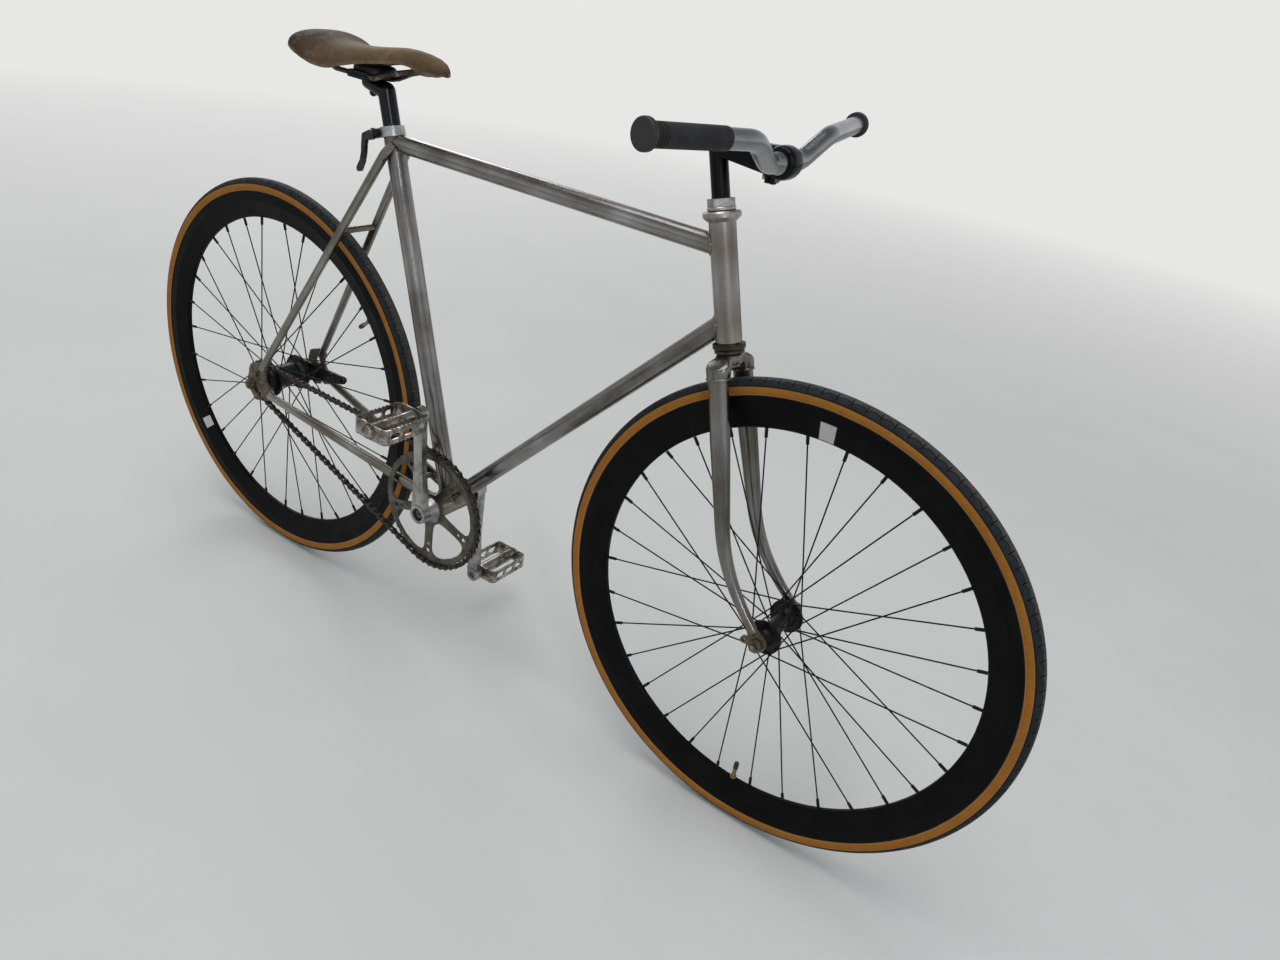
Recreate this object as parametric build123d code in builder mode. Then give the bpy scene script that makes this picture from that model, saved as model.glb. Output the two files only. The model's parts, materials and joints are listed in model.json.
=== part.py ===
from build123d import *
from math import asin, atan2, cos, degrees, pi, radians, sin, sqrt
import os

os.makedirs("parts", exist_ok=True)

# Single-speed road bicycle with a coaster brake hub.
# +X is forward, +Y is to the rider's left, +Z is up; lengths are in millimetres.
# The origin is the rider's seat point on top of the saddle.

# ---- Driving dimensions: overall ----
wheelbase = 1002.0
chainstay_length = 420.0
bottom_bracket_drop = 72.0
rim_outer_radius = 316.5
tyre_height = 21.5  # above the rim's edge
wheel_radius = rim_outer_radius + tyre_height
saddle_height = 915.0
rider_x = 195.0  # seat point ahead of the rear axle
head_angle = 73.0
seat_angle = 73.3
fork_rake = 46.6
crank_length = 170.0
fit_gap = 0.05  # between joined pieces of one body
running_gap = 0.05  # a shaft turning in its bore

# ---- Driving dimensions: frame ----
top_tube_height = 796.0
top_tube_radius = 12.7
down_tube_radius = 12.7
seat_tube_radius = 14.3
seat_tube_rise = 20.0  # above the top tube's axis
head_tube_radius = 16.5
head_tube_bore = 15.1
head_tube_length = 143.0
down_tube_offset = 26.0  # its axis above the head tube's foot
shell_radius = 20.0
shell_width = 68.0
shell_bore = 17.4
cup_flange_radius = 19.0
cup_flange_width = 2.7
cup_depth = 18.0
cup_wall = 3.0
chainstay_height = 22.0
chainstay_width = 12.0
chainstay_end_radius = 6.5
ring_clearance = 5.2  # chainring to chainstay
seatstay_radius = 7.0
seatstay_end_radius = 6.0
seatstay_joint_drop = 14.0  # below the top tube's axis
seatstay_overlap = 0.8  # how far the stay is coped into the seat tube's side
cap_rise = 4.0
cap_slant = 66.0
bridge_radius = 5.0
seatstay_bridge_clearance = 24.0
chainstay_bridge_clearance = 14.0

# ---- Driving dimensions: dropouts and axles ----
rear_spacing = 120.0
front_spacing = 100.0
dropout_thickness = 5.0
eyelet_radius = 2.5
rear_axle_radius = 4.75
rear_axle_reach = 76.0
front_axle_radius = 4.5
front_axle_reach = 68.0
nut_radius = 8.6
nut_width = 9.0
locknut_radius = 9.0
arm_length = 101.0
arm_angle = 8.4
arm_thickness = 4.0
arm_root_radius = 18.0
arm_end_radius = 7.0
brake_gap = 1.0  # arm to hub shell

# ---- Driving dimensions: wheels ----
rim_depth = 42.0
rim_width = 23.0
rim_wall = 2.0
rim_nose_width = 9.0
rim_well_depth = 7.0
tyre_width = 28.0
tyre_wall = 2.6
bead_depth = 5.2
bead_thickness = 3.0
spoke_count = 32
spoke_radius = 1.0
spoke_crosses = 3
nipple_radius = 2.2
nipple_length = 12.0
rim_hole_offset = 1.5
nipple_sink = 0.45  # the spoke's end inside the rim's nose
flange_thickness = 3.0
hole_inset = 3.5  # spoke holes from the flange's edge
front_flange_radius = 24.0
front_flange_centre = 33.0
front_barrel_radius = 11.0
front_hub_reach = 46.0
rear_flange_radius = 31.0
rear_flange_centre = 29.0
rear_barrel_radius = 20.0
rear_hub_left = 43.0
rear_hub_right = 36.0
valve_radius = 3.0
valve_length = 26.0
front_valve_angle = -90.0
rear_valve_angle = 38.6

# ---- Driving dimensions: transmission ----
link_pitch = 12.7
chainring_teeth = 50
sprocket_teeth = 16
chainline = 43.0
plate_radius = 4.1
plate_thickness = 1.0
plate_gap = 0.15
inner_width = 3.3
roller_radius = 3.9
pin_radius = 1.8
ring_thickness = 2.4
tooth_height = 3.6
tooth_clearance = 0.4  # tips to the rollers, so the rings turn at any angle
window_root = 35.0  # the small end of a chainring window from the axle
window_root_radius = 7.0
window_side = 58.0
window_side_offset = 16.5
window_side_radius = 15.0
window_crown = 66.5
window_crown_radius = 12.0
lightening_distance = 72.0  # small openings near the end of each arm
driver_radius = 16.5
driver_reach = 46.5
spindle_radius = 8.5
spindle_reach = 62.0
crank_angle = 94.0
crank_thickness = 13.0  # at the pedal eye
crank_face = 72.0  # outer face from the middle plane
crank_arm_thickness = 11.0
crank_waist = 88.0  # the arm's narrowest place from the axle
crank_waist_radius = 8.3
crank_neck_radius = 9.3  # where the arm meets the eye
crank_neck = 24.0  # from the eye's middle
crank_root_radius = 14.0
crank_boss_radius = 15.5
crank_flare_radius = 23.0
crank_eye_radius = 11.8
crank_recess_radius = 10.5

# ---- Driving dimensions: pedals ----
pedal_axle_radius = 6.0
pedal_collar_radius = 8.5
pedal_gap = 5.5  # crank face to the cage
pedal_length = 88.0
pedal_width = 66.0
pedal_height = 24.0
pedal_corner = 9.0
pedal_barrel_radius = 10.5
cage_thickness = 2.2
serration = 2.4

# ---- Driving dimensions: steering ----
crown_race_distance = 367.0
crown_race_height = 4.6
race_gap = 0.4
cup_height = 8.2
upper_cup_height = 12.0
cup_skirt = 10.0
lower_cup_radius = 20.6
upper_cup_radius = 23.2
cup_groove = 0.9
steerer_radius = 12.7
steerer_bore = 11.2
race_nut_height = 4.6
race_nut_radius = 17.2
hexagon_height = 9.4
hexagon_radius = 16.6
steerer_recess = 1.2  # the steerer's end below the locknut's top
blade_drop = 17.0  # the blades' ends below the crown race
blade_bend = 150.0
blade_throw = 53.0  # the bend's reach, carried on to the axle's height
blade_end = 16.0
blade_length_x = 27.0
blade_length_y = 20.0
blade_end_size = 13.0
blade_spread = 30.5
crown_wall = 2.4
crown_seat_radius = 17.0
crown_waist = 23.0
crown_slope = 14.5  # its shoulders fall this far to the sockets' outer edges
crown_height = 32.0
crown_arch = 15.0
bar_height = 906.0
bar_x = 866.0
quill_radius = 11.1
quill_depth = 70.0
stem_root_radius = 10.0
stem_half_width = 10.0
stem_edge = 5.0
stem_step = 1.4  # the clamp's barrel stands proud of the arm
stem_clamp_radius = 19.0
stem_clamp_width = 36.0
lug_width = 11.0
lug_depth = 13.0
clamp_slit = 2.0
bar_radius = 11.1
bar_clamp_radius = 12.7
bar_half_width = 248.0
bar_straight = 40.0
bar_bend_y = 92.0
bar_rise = 31.0
bar_sweep = 25.0
bar_bend_radius = 42.0
grip_radius = 12.2
grip_length = 110.0
rib_depth = 0.7
plug_radius = 15.8
plug_thickness = 8.0

# ---- Driving dimensions: seat ----
seatpost_radius = 12.7
seatpost_insertion = 110.0
collar_height = 13.0
collar_wall = 3.2
lever_thickness = 6.0
post_head_drop = 16.0  # the post's end below the rails
post_head_back = 37.0  # the head's rear end behind the post's axis
post_head_radius = 10.0
clamp_x = 9.0  # the clamp's middle ahead of the seat point
clamp_length = 44.0
saddle_nose_x = 158.0
saddle_tail_x = -104.0
saddle_width = 150.0
saddle_skin = 4.0
rail_radius = 3.5
rail_spread = 22.0
rail_drop = 38.0

# ---- Places that follow ----


def at(x, y, z):
    """A point given ahead of the rear axle, left of the middle and above the ground."""
    return Vector(x - rider_x, y, z - saddle_height)


def plane_at(origin, normal):
    """A plane square to a direction, with x towards +Y, or towards +X for a sideways one."""
    guide = Vector(0, 1, 0) if abs(normal.Y) < 0.9 else Vector(1, 0, 0)
    return Plane(origin=origin, x_dir=guide - normal * guide.dot(normal), z_dir=normal)


def side_plane(centre, y=0.0):
    """An upright plane seen from the right: x forward, y up, standing off to the left by y."""
    return Plane(origin=(centre.X, y, centre.Z), x_dir=(1, 0, 0), z_dir=(0, -1, 0))


def round_bar(start, end, radius, mode=Mode.ADD):
    """A round bar from one point to another."""
    run = end - start
    with BuildSketch(plane_at(start, run.normalized())) as section:
        Circle(radius)
    extrude(section.sketch, amount=run.length, mode=mode)


def lathe(plane, *outline, mode=Mode.ADD):
    """A turned piece: (distance, radius) points along and out from the plane's x axis."""
    with BuildSketch(plane) as section:
        with BuildLine():
            Polyline(*outline, close=True)
        make_face()
    revolve(section.sketch, axis=Axis(plane.origin, plane.x_dir), mode=mode)


def across(centre):
    """The lathe plane of a piece that turns about a sideways axle."""
    return Plane(origin=centre, x_dir=(0, 1, 0), z_dir=(1, 0, 0))


rear_axle_centre = at(0, 0, wheel_radius)
front_axle_centre = at(wheelbase, 0, wheel_radius)
bb_x = sqrt(chainstay_length**2 - bottom_bracket_drop**2)
bb_centre = at(bb_x, 0, wheel_radius - bottom_bracket_drop)
shell_end = Vector(0, shell_width / 2, 0)

steer_up = Vector(-cos(radians(head_angle)), 0, sin(radians(head_angle)))
steer_forward = Vector(sin(radians(head_angle)), 0, cos(radians(head_angle)))
rake_foot = front_axle_centre - steer_forward * fork_rake
steer_lathe = Plane(origin=rake_foot, x_dir=steer_up, z_dir=(0, 1, 0))
seat_up = Vector(-cos(radians(seat_angle)), 0, sin(radians(seat_angle)))
seat_lathe = Plane(origin=bb_centre, x_dir=seat_up, z_dir=(0, 1, 0))


def on_steerer(distance, forward=0.0, left=0.0):
    """A point by its distance up the steering axis, ahead of it and to its left."""
    return rake_foot + steer_up * distance + steer_forward * forward + Vector(0, left, 0)


def on_seat_tube(height):
    """The point of the seat tube's axis at a height above the ground."""
    rise = height - (wheel_radius - bottom_bracket_drop)
    return bb_centre + seat_up * (rise / sin(radians(seat_angle)))


def steerer_at_height(height):
    """The point of the steering axis at a height above the ground."""
    rise = height - saddle_height - rake_foot.Z
    return on_steerer(rise / sin(radians(head_angle)))


lower_cup_foot = crown_race_distance + crown_race_height + race_gap
head_tube_start = lower_cup_foot + cup_height
head_tube_end = head_tube_start + head_tube_length
upper_cup_top = head_tube_end + upper_cup_height
race_nut_top = upper_cup_top + race_gap + race_nut_height
steerer_top = race_nut_top + hexagon_height - steerer_recess
blade_start = crown_race_distance - blade_drop
head_low = on_steerer(head_tube_start)
head_high = on_steerer(head_tube_end)
seat_high = on_seat_tube(top_tube_height + seat_tube_rise)
top_rear = on_seat_tube(top_tube_height)
top_front = steerer_at_height(top_tube_height)
down_front = on_steerer(head_tube_start + down_tube_offset)

# ---- Frame tubes ----
with BuildPart() as head_tube:
    round_bar(head_low, head_high, head_tube_radius)
    round_bar(head_low, head_high, head_tube_bore, mode=Mode.SUBTRACT)

with BuildPart() as bottom_bracket_shell:
    round_bar(bb_centre - shell_end, bb_centre + shell_end, shell_radius)
    round_bar(bb_centre - shell_end, bb_centre + shell_end, shell_bore, mode=Mode.SUBTRACT)

with BuildPart() as seat_tube:
    round_bar(bb_centre, seat_high, seat_tube_radius)
    round_bar(bb_centre, seat_high, seatpost_radius + fit_gap, mode=Mode.SUBTRACT)
    round_bar(bb_centre - shell_end, bb_centre + shell_end, shell_radius + fit_gap, mode=Mode.SUBTRACT)

with BuildPart() as top_tube:
    round_bar(top_rear, top_front, top_tube_radius)
    round_bar(bb_centre, seat_high, seat_tube_radius + fit_gap, mode=Mode.SUBTRACT)
    round_bar(head_low, head_high, head_tube_radius + fit_gap, mode=Mode.SUBTRACT)

with BuildPart() as down_tube:
    round_bar(bb_centre, down_front, down_tube_radius)
    round_bar(bb_centre - shell_end, bb_centre + shell_end, shell_radius + fit_gap, mode=Mode.SUBTRACT)
    round_bar(bb_centre, seat_high, seat_tube_radius + fit_gap, mode=Mode.SUBTRACT)
    round_bar(head_low, head_high, head_tube_radius + fit_gap, mode=Mode.SUBTRACT)

with BuildPart() as bottom_bracket_cups:
    spindle_bore = spindle_radius + running_gap
    for side in (-1, 1):
        face = shell_width / 2 + fit_gap
        lathe(
            across(bb_centre),
            (side * face, spindle_bore),
            (side * face, cup_flange_radius),
            (side * (face + cup_flange_width), cup_flange_radius),
            (side * (face + cup_flange_width), spindle_bore),
        )
        lathe(
            across(bb_centre),
            (side * (face + cup_flange_width / 2), shell_bore - fit_gap),
            (side * (face - cup_depth), shell_bore - fit_gap),
            (side * (face - cup_depth), shell_bore - cup_wall),
            (side * (face - cup_wall), shell_bore - cup_wall),
            (side * (face - cup_wall), spindle_bore),
            (side * (face + cup_flange_width / 2), spindle_bore),
        )

# ---- Rear dropouts: a forward-facing axle slot, an eyelet above and a window ----
rear_dropout_y = (rear_spacing + dropout_thickness) / 2
rear_eyelet = Vector(1, 30)
seatstay_tab = Vector(27, 40)
chainstay_tab = Vector(48, -8.3)
rear_slot_angle = -38.0

with BuildPart() as rear_dropouts:
    for side in (-1, 1):
        with BuildSketch(side_plane(rear_axle_centre, side * rear_dropout_y)):
            with Locations((0, 0)):
                Circle(14.0)
            with Locations(rear_eyelet, seatstay_tab, chainstay_tab):
                Circle(7.0)
            with Locations((8, -21)):
                Circle(6.5)
            make_hull()
            with BuildLine():
                FilletPolyline((7, 17), (17, 33), (25, 14), radius=2.5, close=True)
            make_face(mode=Mode.SUBTRACT)
            with Locations((56, 26)):
                Circle(24.0, mode=Mode.SUBTRACT)
            with Locations(rear_eyelet):
                Circle(eyelet_radius, mode=Mode.SUBTRACT)
            slot_width = 2 * (rear_axle_radius + fit_gap)
            Circle(slot_width / 2, mode=Mode.SUBTRACT)
            Rectangle(
                chainstay_tab.X,
                slot_width,
                rotation=rear_slot_angle,
                align=(Align.MIN, Align.CENTER),
                mode=Mode.SUBTRACT,
            )
    extrude(amount=dropout_thickness / 2, both=True)

# ---- Stays, slotted over the dropouts' tabs ----
stay_inset = 5.0  # the stay's end behind the middle of its tab


def stay_foot(tab, side):
    """Where a stay's axis meets the dropout."""
    return rear_axle_centre + Vector(tab.X, side * rear_dropout_y, tab.Y)


ring_radius = link_pitch * chainring_teeth / (2 * pi)
ring_tip = ring_radius - roller_radius - tooth_clearance
ring_share = (bb_x - ring_tip - chainstay_tab.X) / (bb_x - chainstay_tab.X)
stay_half = chainstay_end_radius + (chainstay_width / 2 - chainstay_end_radius) * ring_share
stay_beside_ring = chainline - ring_thickness / 2 - ring_clearance - stay_half
chainstay_spread = (stay_beside_ring - rear_dropout_y * (1 - ring_share)) / ring_share

with BuildPart() as chainstays:
    for side in (-1, 1):
        foot = stay_foot(chainstay_tab, side)
        hip = bb_centre + Vector(0, side * chainstay_spread, 0)
        run = (hip - foot).normalized()
        with BuildSketch(plane_at(foot - run * stay_inset, run)) as thin_end:
            Circle(chainstay_end_radius)
        with BuildSketch(plane_at(hip, run)) as thick_end:
            Ellipse(chainstay_width / 2, chainstay_height / 2)
        loft([thin_end.sketch, thick_end.sketch])
    round_bar(bb_centre - shell_end, bb_centre + shell_end, shell_radius + fit_gap, mode=Mode.SUBTRACT)
    add(rear_dropouts.part, mode=Mode.SUBTRACT)

seatstay_side = seat_tube_radius + seatstay_radius - seatstay_overlap
seatstay_top = on_seat_tube(top_tube_height - seatstay_joint_drop)

with BuildPart() as seatstays:
    for side in (-1, 1):
        foot = stay_foot(seatstay_tab, side)
        joint = seatstay_top + Vector(0, side * seatstay_side, 0)
        run = (joint - foot).normalized()
        with BuildSketch(plane_at(foot - run * stay_inset, run)) as thin_end:
            Circle(seatstay_end_radius)
        with BuildSketch(plane_at(joint + run * 4 * cap_rise, run)) as thick_end:
            Circle(seatstay_radius)
        loft([thin_end.sketch, thick_end.sketch])
        slant = run * cos(radians(cap_slant)) + Vector(0, side * sin(radians(cap_slant)), 0)
        with BuildSketch(plane_at(joint + run * cap_rise, slant.normalized())) as cap:
            Rectangle(8 * seatstay_radius, 8 * seatstay_radius)
        extrude(cap.sketch, amount=4 * seatstay_radius, mode=Mode.SUBTRACT)
    round_bar(bb_centre, seat_high, seat_tube_radius + fit_gap, mode=Mode.SUBTRACT)
    round_bar(top_rear, top_front, top_tube_radius + fit_gap, mode=Mode.SUBTRACT)
    add(rear_dropouts.part, mode=Mode.SUBTRACT)


def point_on_stay(foot, top, distance):
    """The point of a stay's axis at a distance from the rear axle, in side view."""
    start = foot - rear_axle_centre
    run = top - foot
    a = run.X**2 + run.Z**2
    b = start.X * run.X + start.Z * run.Z
    c = start.X**2 + start.Z**2 - distance**2
    return foot + run * ((sqrt(b * b - a * c) - b) / a)


with BuildPart() as stay_bridges:
    left_joint = seatstay_top + Vector(0, seatstay_side, 0)
    left_hip = bb_centre + Vector(0, chainstay_spread, 0)
    bridges = [
        (seatstay_tab, left_joint, seatstay_bridge_clearance, seatstays),
        (chainstay_tab, left_hip, chainstay_bridge_clearance, chainstays),
    ]
    for tab, top, clearance, stays in bridges:
        end = point_on_stay(stay_foot(tab, 1), top, wheel_radius + clearance)
        round_bar(Vector(end.X, -end.Y, end.Z), end, bridge_radius)
        add(stays.part, mode=Mode.SUBTRACT)

# ---- Headset and fork ----
cup_bore = steerer_radius + race_gap

with BuildPart() as headset_cups:
    groove_low = lower_cup_foot + 0.5 * cup_height
    groove_high = lower_cup_foot + 0.62 * cup_height
    lathe(
        steer_lathe,
        (lower_cup_foot, cup_bore),
        (lower_cup_foot, lower_cup_radius - cup_groove),
        (lower_cup_foot + cup_groove, lower_cup_radius),
        (groove_low, lower_cup_radius),
        (groove_low, lower_cup_radius - cup_groove),
        (groove_high, lower_cup_radius - cup_groove),
        (groove_high, lower_cup_radius),
        (head_tube_start - 2 * cup_groove, lower_cup_radius),
        (head_tube_start - fit_gap, head_tube_radius),
        (head_tube_start - fit_gap, head_tube_bore - fit_gap),
        (head_tube_start + cup_skirt, head_tube_bore - fit_gap),
        (head_tube_start + cup_skirt, cup_bore),
    )
    lathe(
        steer_lathe,
        (head_tube_end - cup_skirt, cup_bore),
        (head_tube_end - cup_skirt, head_tube_bore - fit_gap),
        (head_tube_end + fit_gap, head_tube_bore - fit_gap),
        (head_tube_end + fit_gap, head_tube_radius + cup_groove),
        (head_tube_end + 0.3 * upper_cup_height, upper_cup_radius - 2 * cup_groove),
        (head_tube_end + 0.45 * upper_cup_height, upper_cup_radius),
        (upper_cup_top - 2 * cup_groove, upper_cup_radius),
        (upper_cup_top, upper_cup_radius - 2 * cup_groove),
        (upper_cup_top, cup_bore),
    )

with BuildPart() as headset_nuts:
    nut_bore = steerer_radius + fit_gap
    race_nut_foot = upper_cup_top + race_gap
    race_height_taken = lower_cup_foot - race_gap
    crown_race_radius = lower_cup_radius - 2 * cup_groove
    lathe(
        steer_lathe,
        (race_nut_foot, nut_bore),
        (race_nut_foot, race_nut_radius - cup_groove),
        (race_nut_foot + cup_groove, race_nut_radius),
        (race_nut_top - cup_groove, race_nut_radius),
        (race_nut_top, race_nut_radius - cup_groove),
        (race_nut_top, nut_bore),
    )
    with BuildSketch(plane_at(on_steerer(race_nut_top), steer_up)) as locknut:
        RegularPolygon(radius=hexagon_radius, side_count=6)
        Circle(nut_bore, mode=Mode.SUBTRACT)
    extrude(locknut.sketch, amount=hexagon_height)
    lathe(
        steer_lathe,
        (crown_race_distance + fit_gap, nut_bore),
        (crown_race_distance + fit_gap, crown_race_radius),
        (race_height_taken - cup_groove, crown_race_radius),
        (race_height_taken, crown_race_radius - cup_groove),
        (race_height_taken, nut_bore),
    )

with BuildPart() as steerer:
    round_bar(on_steerer(blade_start), on_steerer(steerer_top), steerer_radius)
    round_bar(on_steerer(blade_start), on_steerer(steerer_top), steerer_bore, mode=Mode.SUBTRACT)

front_dropout_y = (front_spacing + dropout_thickness) / 2
front_eyelet = Vector(-19, -3)


def blade_point(distance, side):
    """The fork blade's centre line: straight down from the crown, then curving forward."""
    bend = max(0.0, 1 - distance / blade_bend)
    share = (distance - blade_end) / (blade_start - blade_end)
    left = front_dropout_y + (blade_spread - front_dropout_y) * share
    return on_steerer(distance, blade_throw * bend**2, side * left)


def blade_plane(distance, side):
    """The plane square to the blade at a distance up the steering axis."""
    ahead = blade_point(distance + 1, side)
    behind = blade_point(distance - 1, side)
    return plane_at(blade_point(distance, side), (ahead - behind).normalized())


with BuildPart() as front_dropouts:
    blade_tab = blade_point(blade_end + 6, 0) - front_axle_centre
    for side in (-1, 1):
        with BuildSketch(side_plane(front_axle_centre, side * front_dropout_y)):
            Circle(11.5)
            with Locations((blade_tab.X, blade_tab.Z)):
                Circle(5.5)
            make_hull()
            with BuildSketch():
                with Locations((-6, 0)):
                    Circle(5.5)
                with Locations(front_eyelet):
                    Circle(5.0)
                make_hull()
            with Locations(front_eyelet):
                Circle(eyelet_radius, mode=Mode.SUBTRACT)
            slot_width = 2 * (front_axle_radius + fit_gap)
            Circle(slot_width / 2, mode=Mode.SUBTRACT)
            Rectangle(slot_width, 2 * nut_radius, align=(Align.CENTER, Align.MAX), mode=Mode.SUBTRACT)
    extrude(amount=dropout_thickness / 2, both=True)

with BuildPart() as fork_blades:
    for side in (-1, 1):
        sections = []
        for distance in (blade_start, 270, blade_bend, 125, 98, 70, 42, blade_end):
            share = min(1.0, (distance - blade_end) / (260 - blade_end))
            across_size = blade_end_size + (blade_length_y - blade_end_size) * share
            along_size = blade_end_size + (blade_length_x - blade_end_size) * share
            with BuildSketch(blade_plane(distance, side)) as section:
                Ellipse(across_size / 2, along_size / 2)
            sections.append(section.sketch)
        loft(sections)
    add(front_dropouts.part, mode=Mode.SUBTRACT)

crown_foot = crown_race_distance - crown_height
socket_outer = blade_spread + blade_length_y / 2 + crown_wall
socket_inner = blade_spread - blade_length_y / 2 - crown_wall
crown_front = Plane(origin=on_steerer(crown_race_distance), x_dir=(0, 1, 0), z_dir=steer_forward)

with BuildPart() as fork_crown:
    with BuildSketch(plane_at(on_steerer(crown_foot), steer_up)) as plan:
        Circle(crown_seat_radius)
        Rectangle(2 * blade_spread, crown_waist)
        with Locations((-blade_spread, 0), (blade_spread, 0)):
            Ellipse(blade_length_y / 2 + crown_wall, blade_length_x / 2 + crown_wall)
    extrude(plan.sketch, amount=crown_height)
    with BuildSketch(crown_front) as front_view:
        with BuildLine():
            Polyline(
                (-crown_seat_radius, 0),
                (crown_seat_radius, 0),
                (socket_outer, -crown_slope),
                (socket_outer, -crown_height),
                (socket_inner, -crown_height),
                (0.85 * socket_inner, -crown_arch),
                (-0.85 * socket_inner, -crown_arch),
                (-socket_inner, -crown_height),
                (-socket_outer, -crown_height),
                (-socket_outer, -crown_slope),
                close=True,
            )
        make_face()
    extrude(front_view.sketch, amount=blade_length_x, both=True, mode=Mode.INTERSECT)
    steerer_hole = steerer_radius + fit_gap
    round_bar(on_steerer(crown_foot), on_steerer(lower_cup_foot), steerer_hole, mode=Mode.SUBTRACT)
    add(fork_blades.part, mode=Mode.SUBTRACT)

# ---- Stem, handlebar, grip and end plugs ----
bar_centre = at(bar_x, 0, bar_height)
quill_top = steerer_at_height(bar_height + stem_root_radius + 2)
stem_root = steerer_at_height(bar_height)

with BuildPart() as stem_arm:
    with BuildSketch(side_plane(bar_centre)) as flank:
        Circle(stem_clamp_radius - stem_step)
        with Locations((stem_root.X - bar_centre.X, stem_root.Z - bar_centre.Z)):
            Circle(stem_root_radius)
        make_hull()
    extrude(flank.sketch, amount=stem_half_width, both=True)
    fillet(stem_arm.edges().filter_by(Axis.Y, reverse=True), radius=stem_edge)

with BuildPart() as stem:
    round_bar(on_steerer(steerer_top - quill_depth), quill_top, quill_radius)
    add(stem_arm.part)
    round_bar(
        bar_centre - Vector(0, stem_clamp_width / 2, 0),
        bar_centre + Vector(0, stem_clamp_width / 2, 0),
        stem_clamp_radius,
    )
    lug_centre = (-0.6 * stem_clamp_radius, -0.95 * stem_clamp_radius)
    with BuildSketch(side_plane(bar_centre)) as lug:
        with Locations(lug_centre):
            RectangleRounded(lug_width, lug_depth, 2.5)
    extrude(lug.sketch, amount=lug_width / 2, both=True)
    with BuildSketch(side_plane(bar_centre)) as slit:
        with Locations(lug_centre):
            Rectangle(clamp_slit, 2 * lug_depth)
    extrude(slit.sketch, amount=stem_clamp_width, both=True, mode=Mode.SUBTRACT)
    round_bar(
        bar_centre - Vector(0, stem_clamp_width, 0),
        bar_centre + Vector(0, stem_clamp_width, 0),
        bar_clamp_radius + fit_gap,
        mode=Mode.SUBTRACT,
    )
    round_bar(quill_top - steer_up * 8, quill_top, quill_radius / 2, mode=Mode.SUBTRACT)

bar_end = bar_centre + Vector(-bar_sweep, bar_half_width, bar_rise)
bar_bend = bar_centre + Vector(6, bar_bend_y, bar_rise - 3)
bar_knee = bar_centre + Vector(0, bar_straight, 0)
bar_out = (bar_end - bar_bend).normalized()


def mirrored(point, side):
    """A point of the left side, or its twin on the right."""
    return Vector(point.X, side * point.Y, point.Z)


with BuildPart() as handlebar:
    with BuildLine() as bar_path:
        left_half = [bar_knee, bar_bend, bar_end]
        right_half = [mirrored(point, -1) for point in reversed(left_half)]
        FilletPolyline(*right_half, *left_half, radius=bar_bend_radius)
    with BuildSketch(plane_at(mirrored(bar_end, -1), mirrored(bar_out, -1) * -1)):
        Circle(bar_radius)
    sweep()
    lathe(
        across(bar_centre),
        (-stem_clamp_width / 2 - 8, 0),
        (-stem_clamp_width / 2 - 8, bar_radius),
        (-stem_clamp_width / 2 - 1, bar_clamp_radius),
        (stem_clamp_width / 2 + 1, bar_clamp_radius),
        (stem_clamp_width / 2 + 8, bar_radius),
        (stem_clamp_width / 2 + 8, 0),
    )

grip_lathe = Plane(
    origin=mirrored(bar_end, -1),
    x_dir=mirrored(bar_out, -1) * -1,
    z_dir=Vector(0, 0, 1).cross(mirrored(bar_out, -1)),
)

with BuildPart() as grip_right:
    outline = [(fit_gap, grip_radius)]
    for ring in range(4):
        groove = 3.0 + 4.0 * ring
        outline += [(groove, grip_radius), (groove, grip_radius - rib_depth)]
        outline += [(groove + 2, grip_radius - rib_depth), (groove + 2, grip_radius)]
    outline += [(grip_length - rib_depth, grip_radius), (grip_length, grip_radius - rib_depth)]
    lathe(grip_lathe, (fit_gap, bar_radius + fit_gap), *outline, (grip_length, bar_radius + fit_gap))

with BuildPart() as bar_end_plugs:
    for side in (-1, 1):
        out = mirrored(bar_out, side)
        rim = mirrored(bar_end, side) + out * fit_gap
        with BuildSketch(plane_at(rim, out)) as disc:
            Circle(plug_radius)
        extrude(disc.sketch, amount=plug_thickness)
    fillet(bar_end_plugs.edges().filter_by(GeomType.CIRCLE), radius=2.0)

# ---- Seatpost, collar, clamp and saddle ----
collar_top = top_tube_height + seat_tube_rise
post_top = on_seat_tube(saddle_height - rail_drop - post_head_drop)
head_rear = Vector(post_top.X - post_head_back, 0, post_top.Z + 5.8)

with BuildPart() as seatpost:
    round_bar(on_seat_tube(collar_top - seatpost_insertion), post_top, seatpost_radius)
    with BuildSketch(side_plane(post_top)) as head:
        Circle(seatpost_radius)
        with Locations((head_rear.X - post_top.X, head_rear.Z - post_top.Z)):
            Circle(post_head_radius)
        make_hull()
    extrude(head.sketch, amount=seatpost_radius, both=True)
    nut_top = head_rear + Vector(post_head_radius, 0, 0)
    round_bar(nut_top, nut_top - Vector(0, 0, 1.7 * post_head_radius), 5.0)

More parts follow.
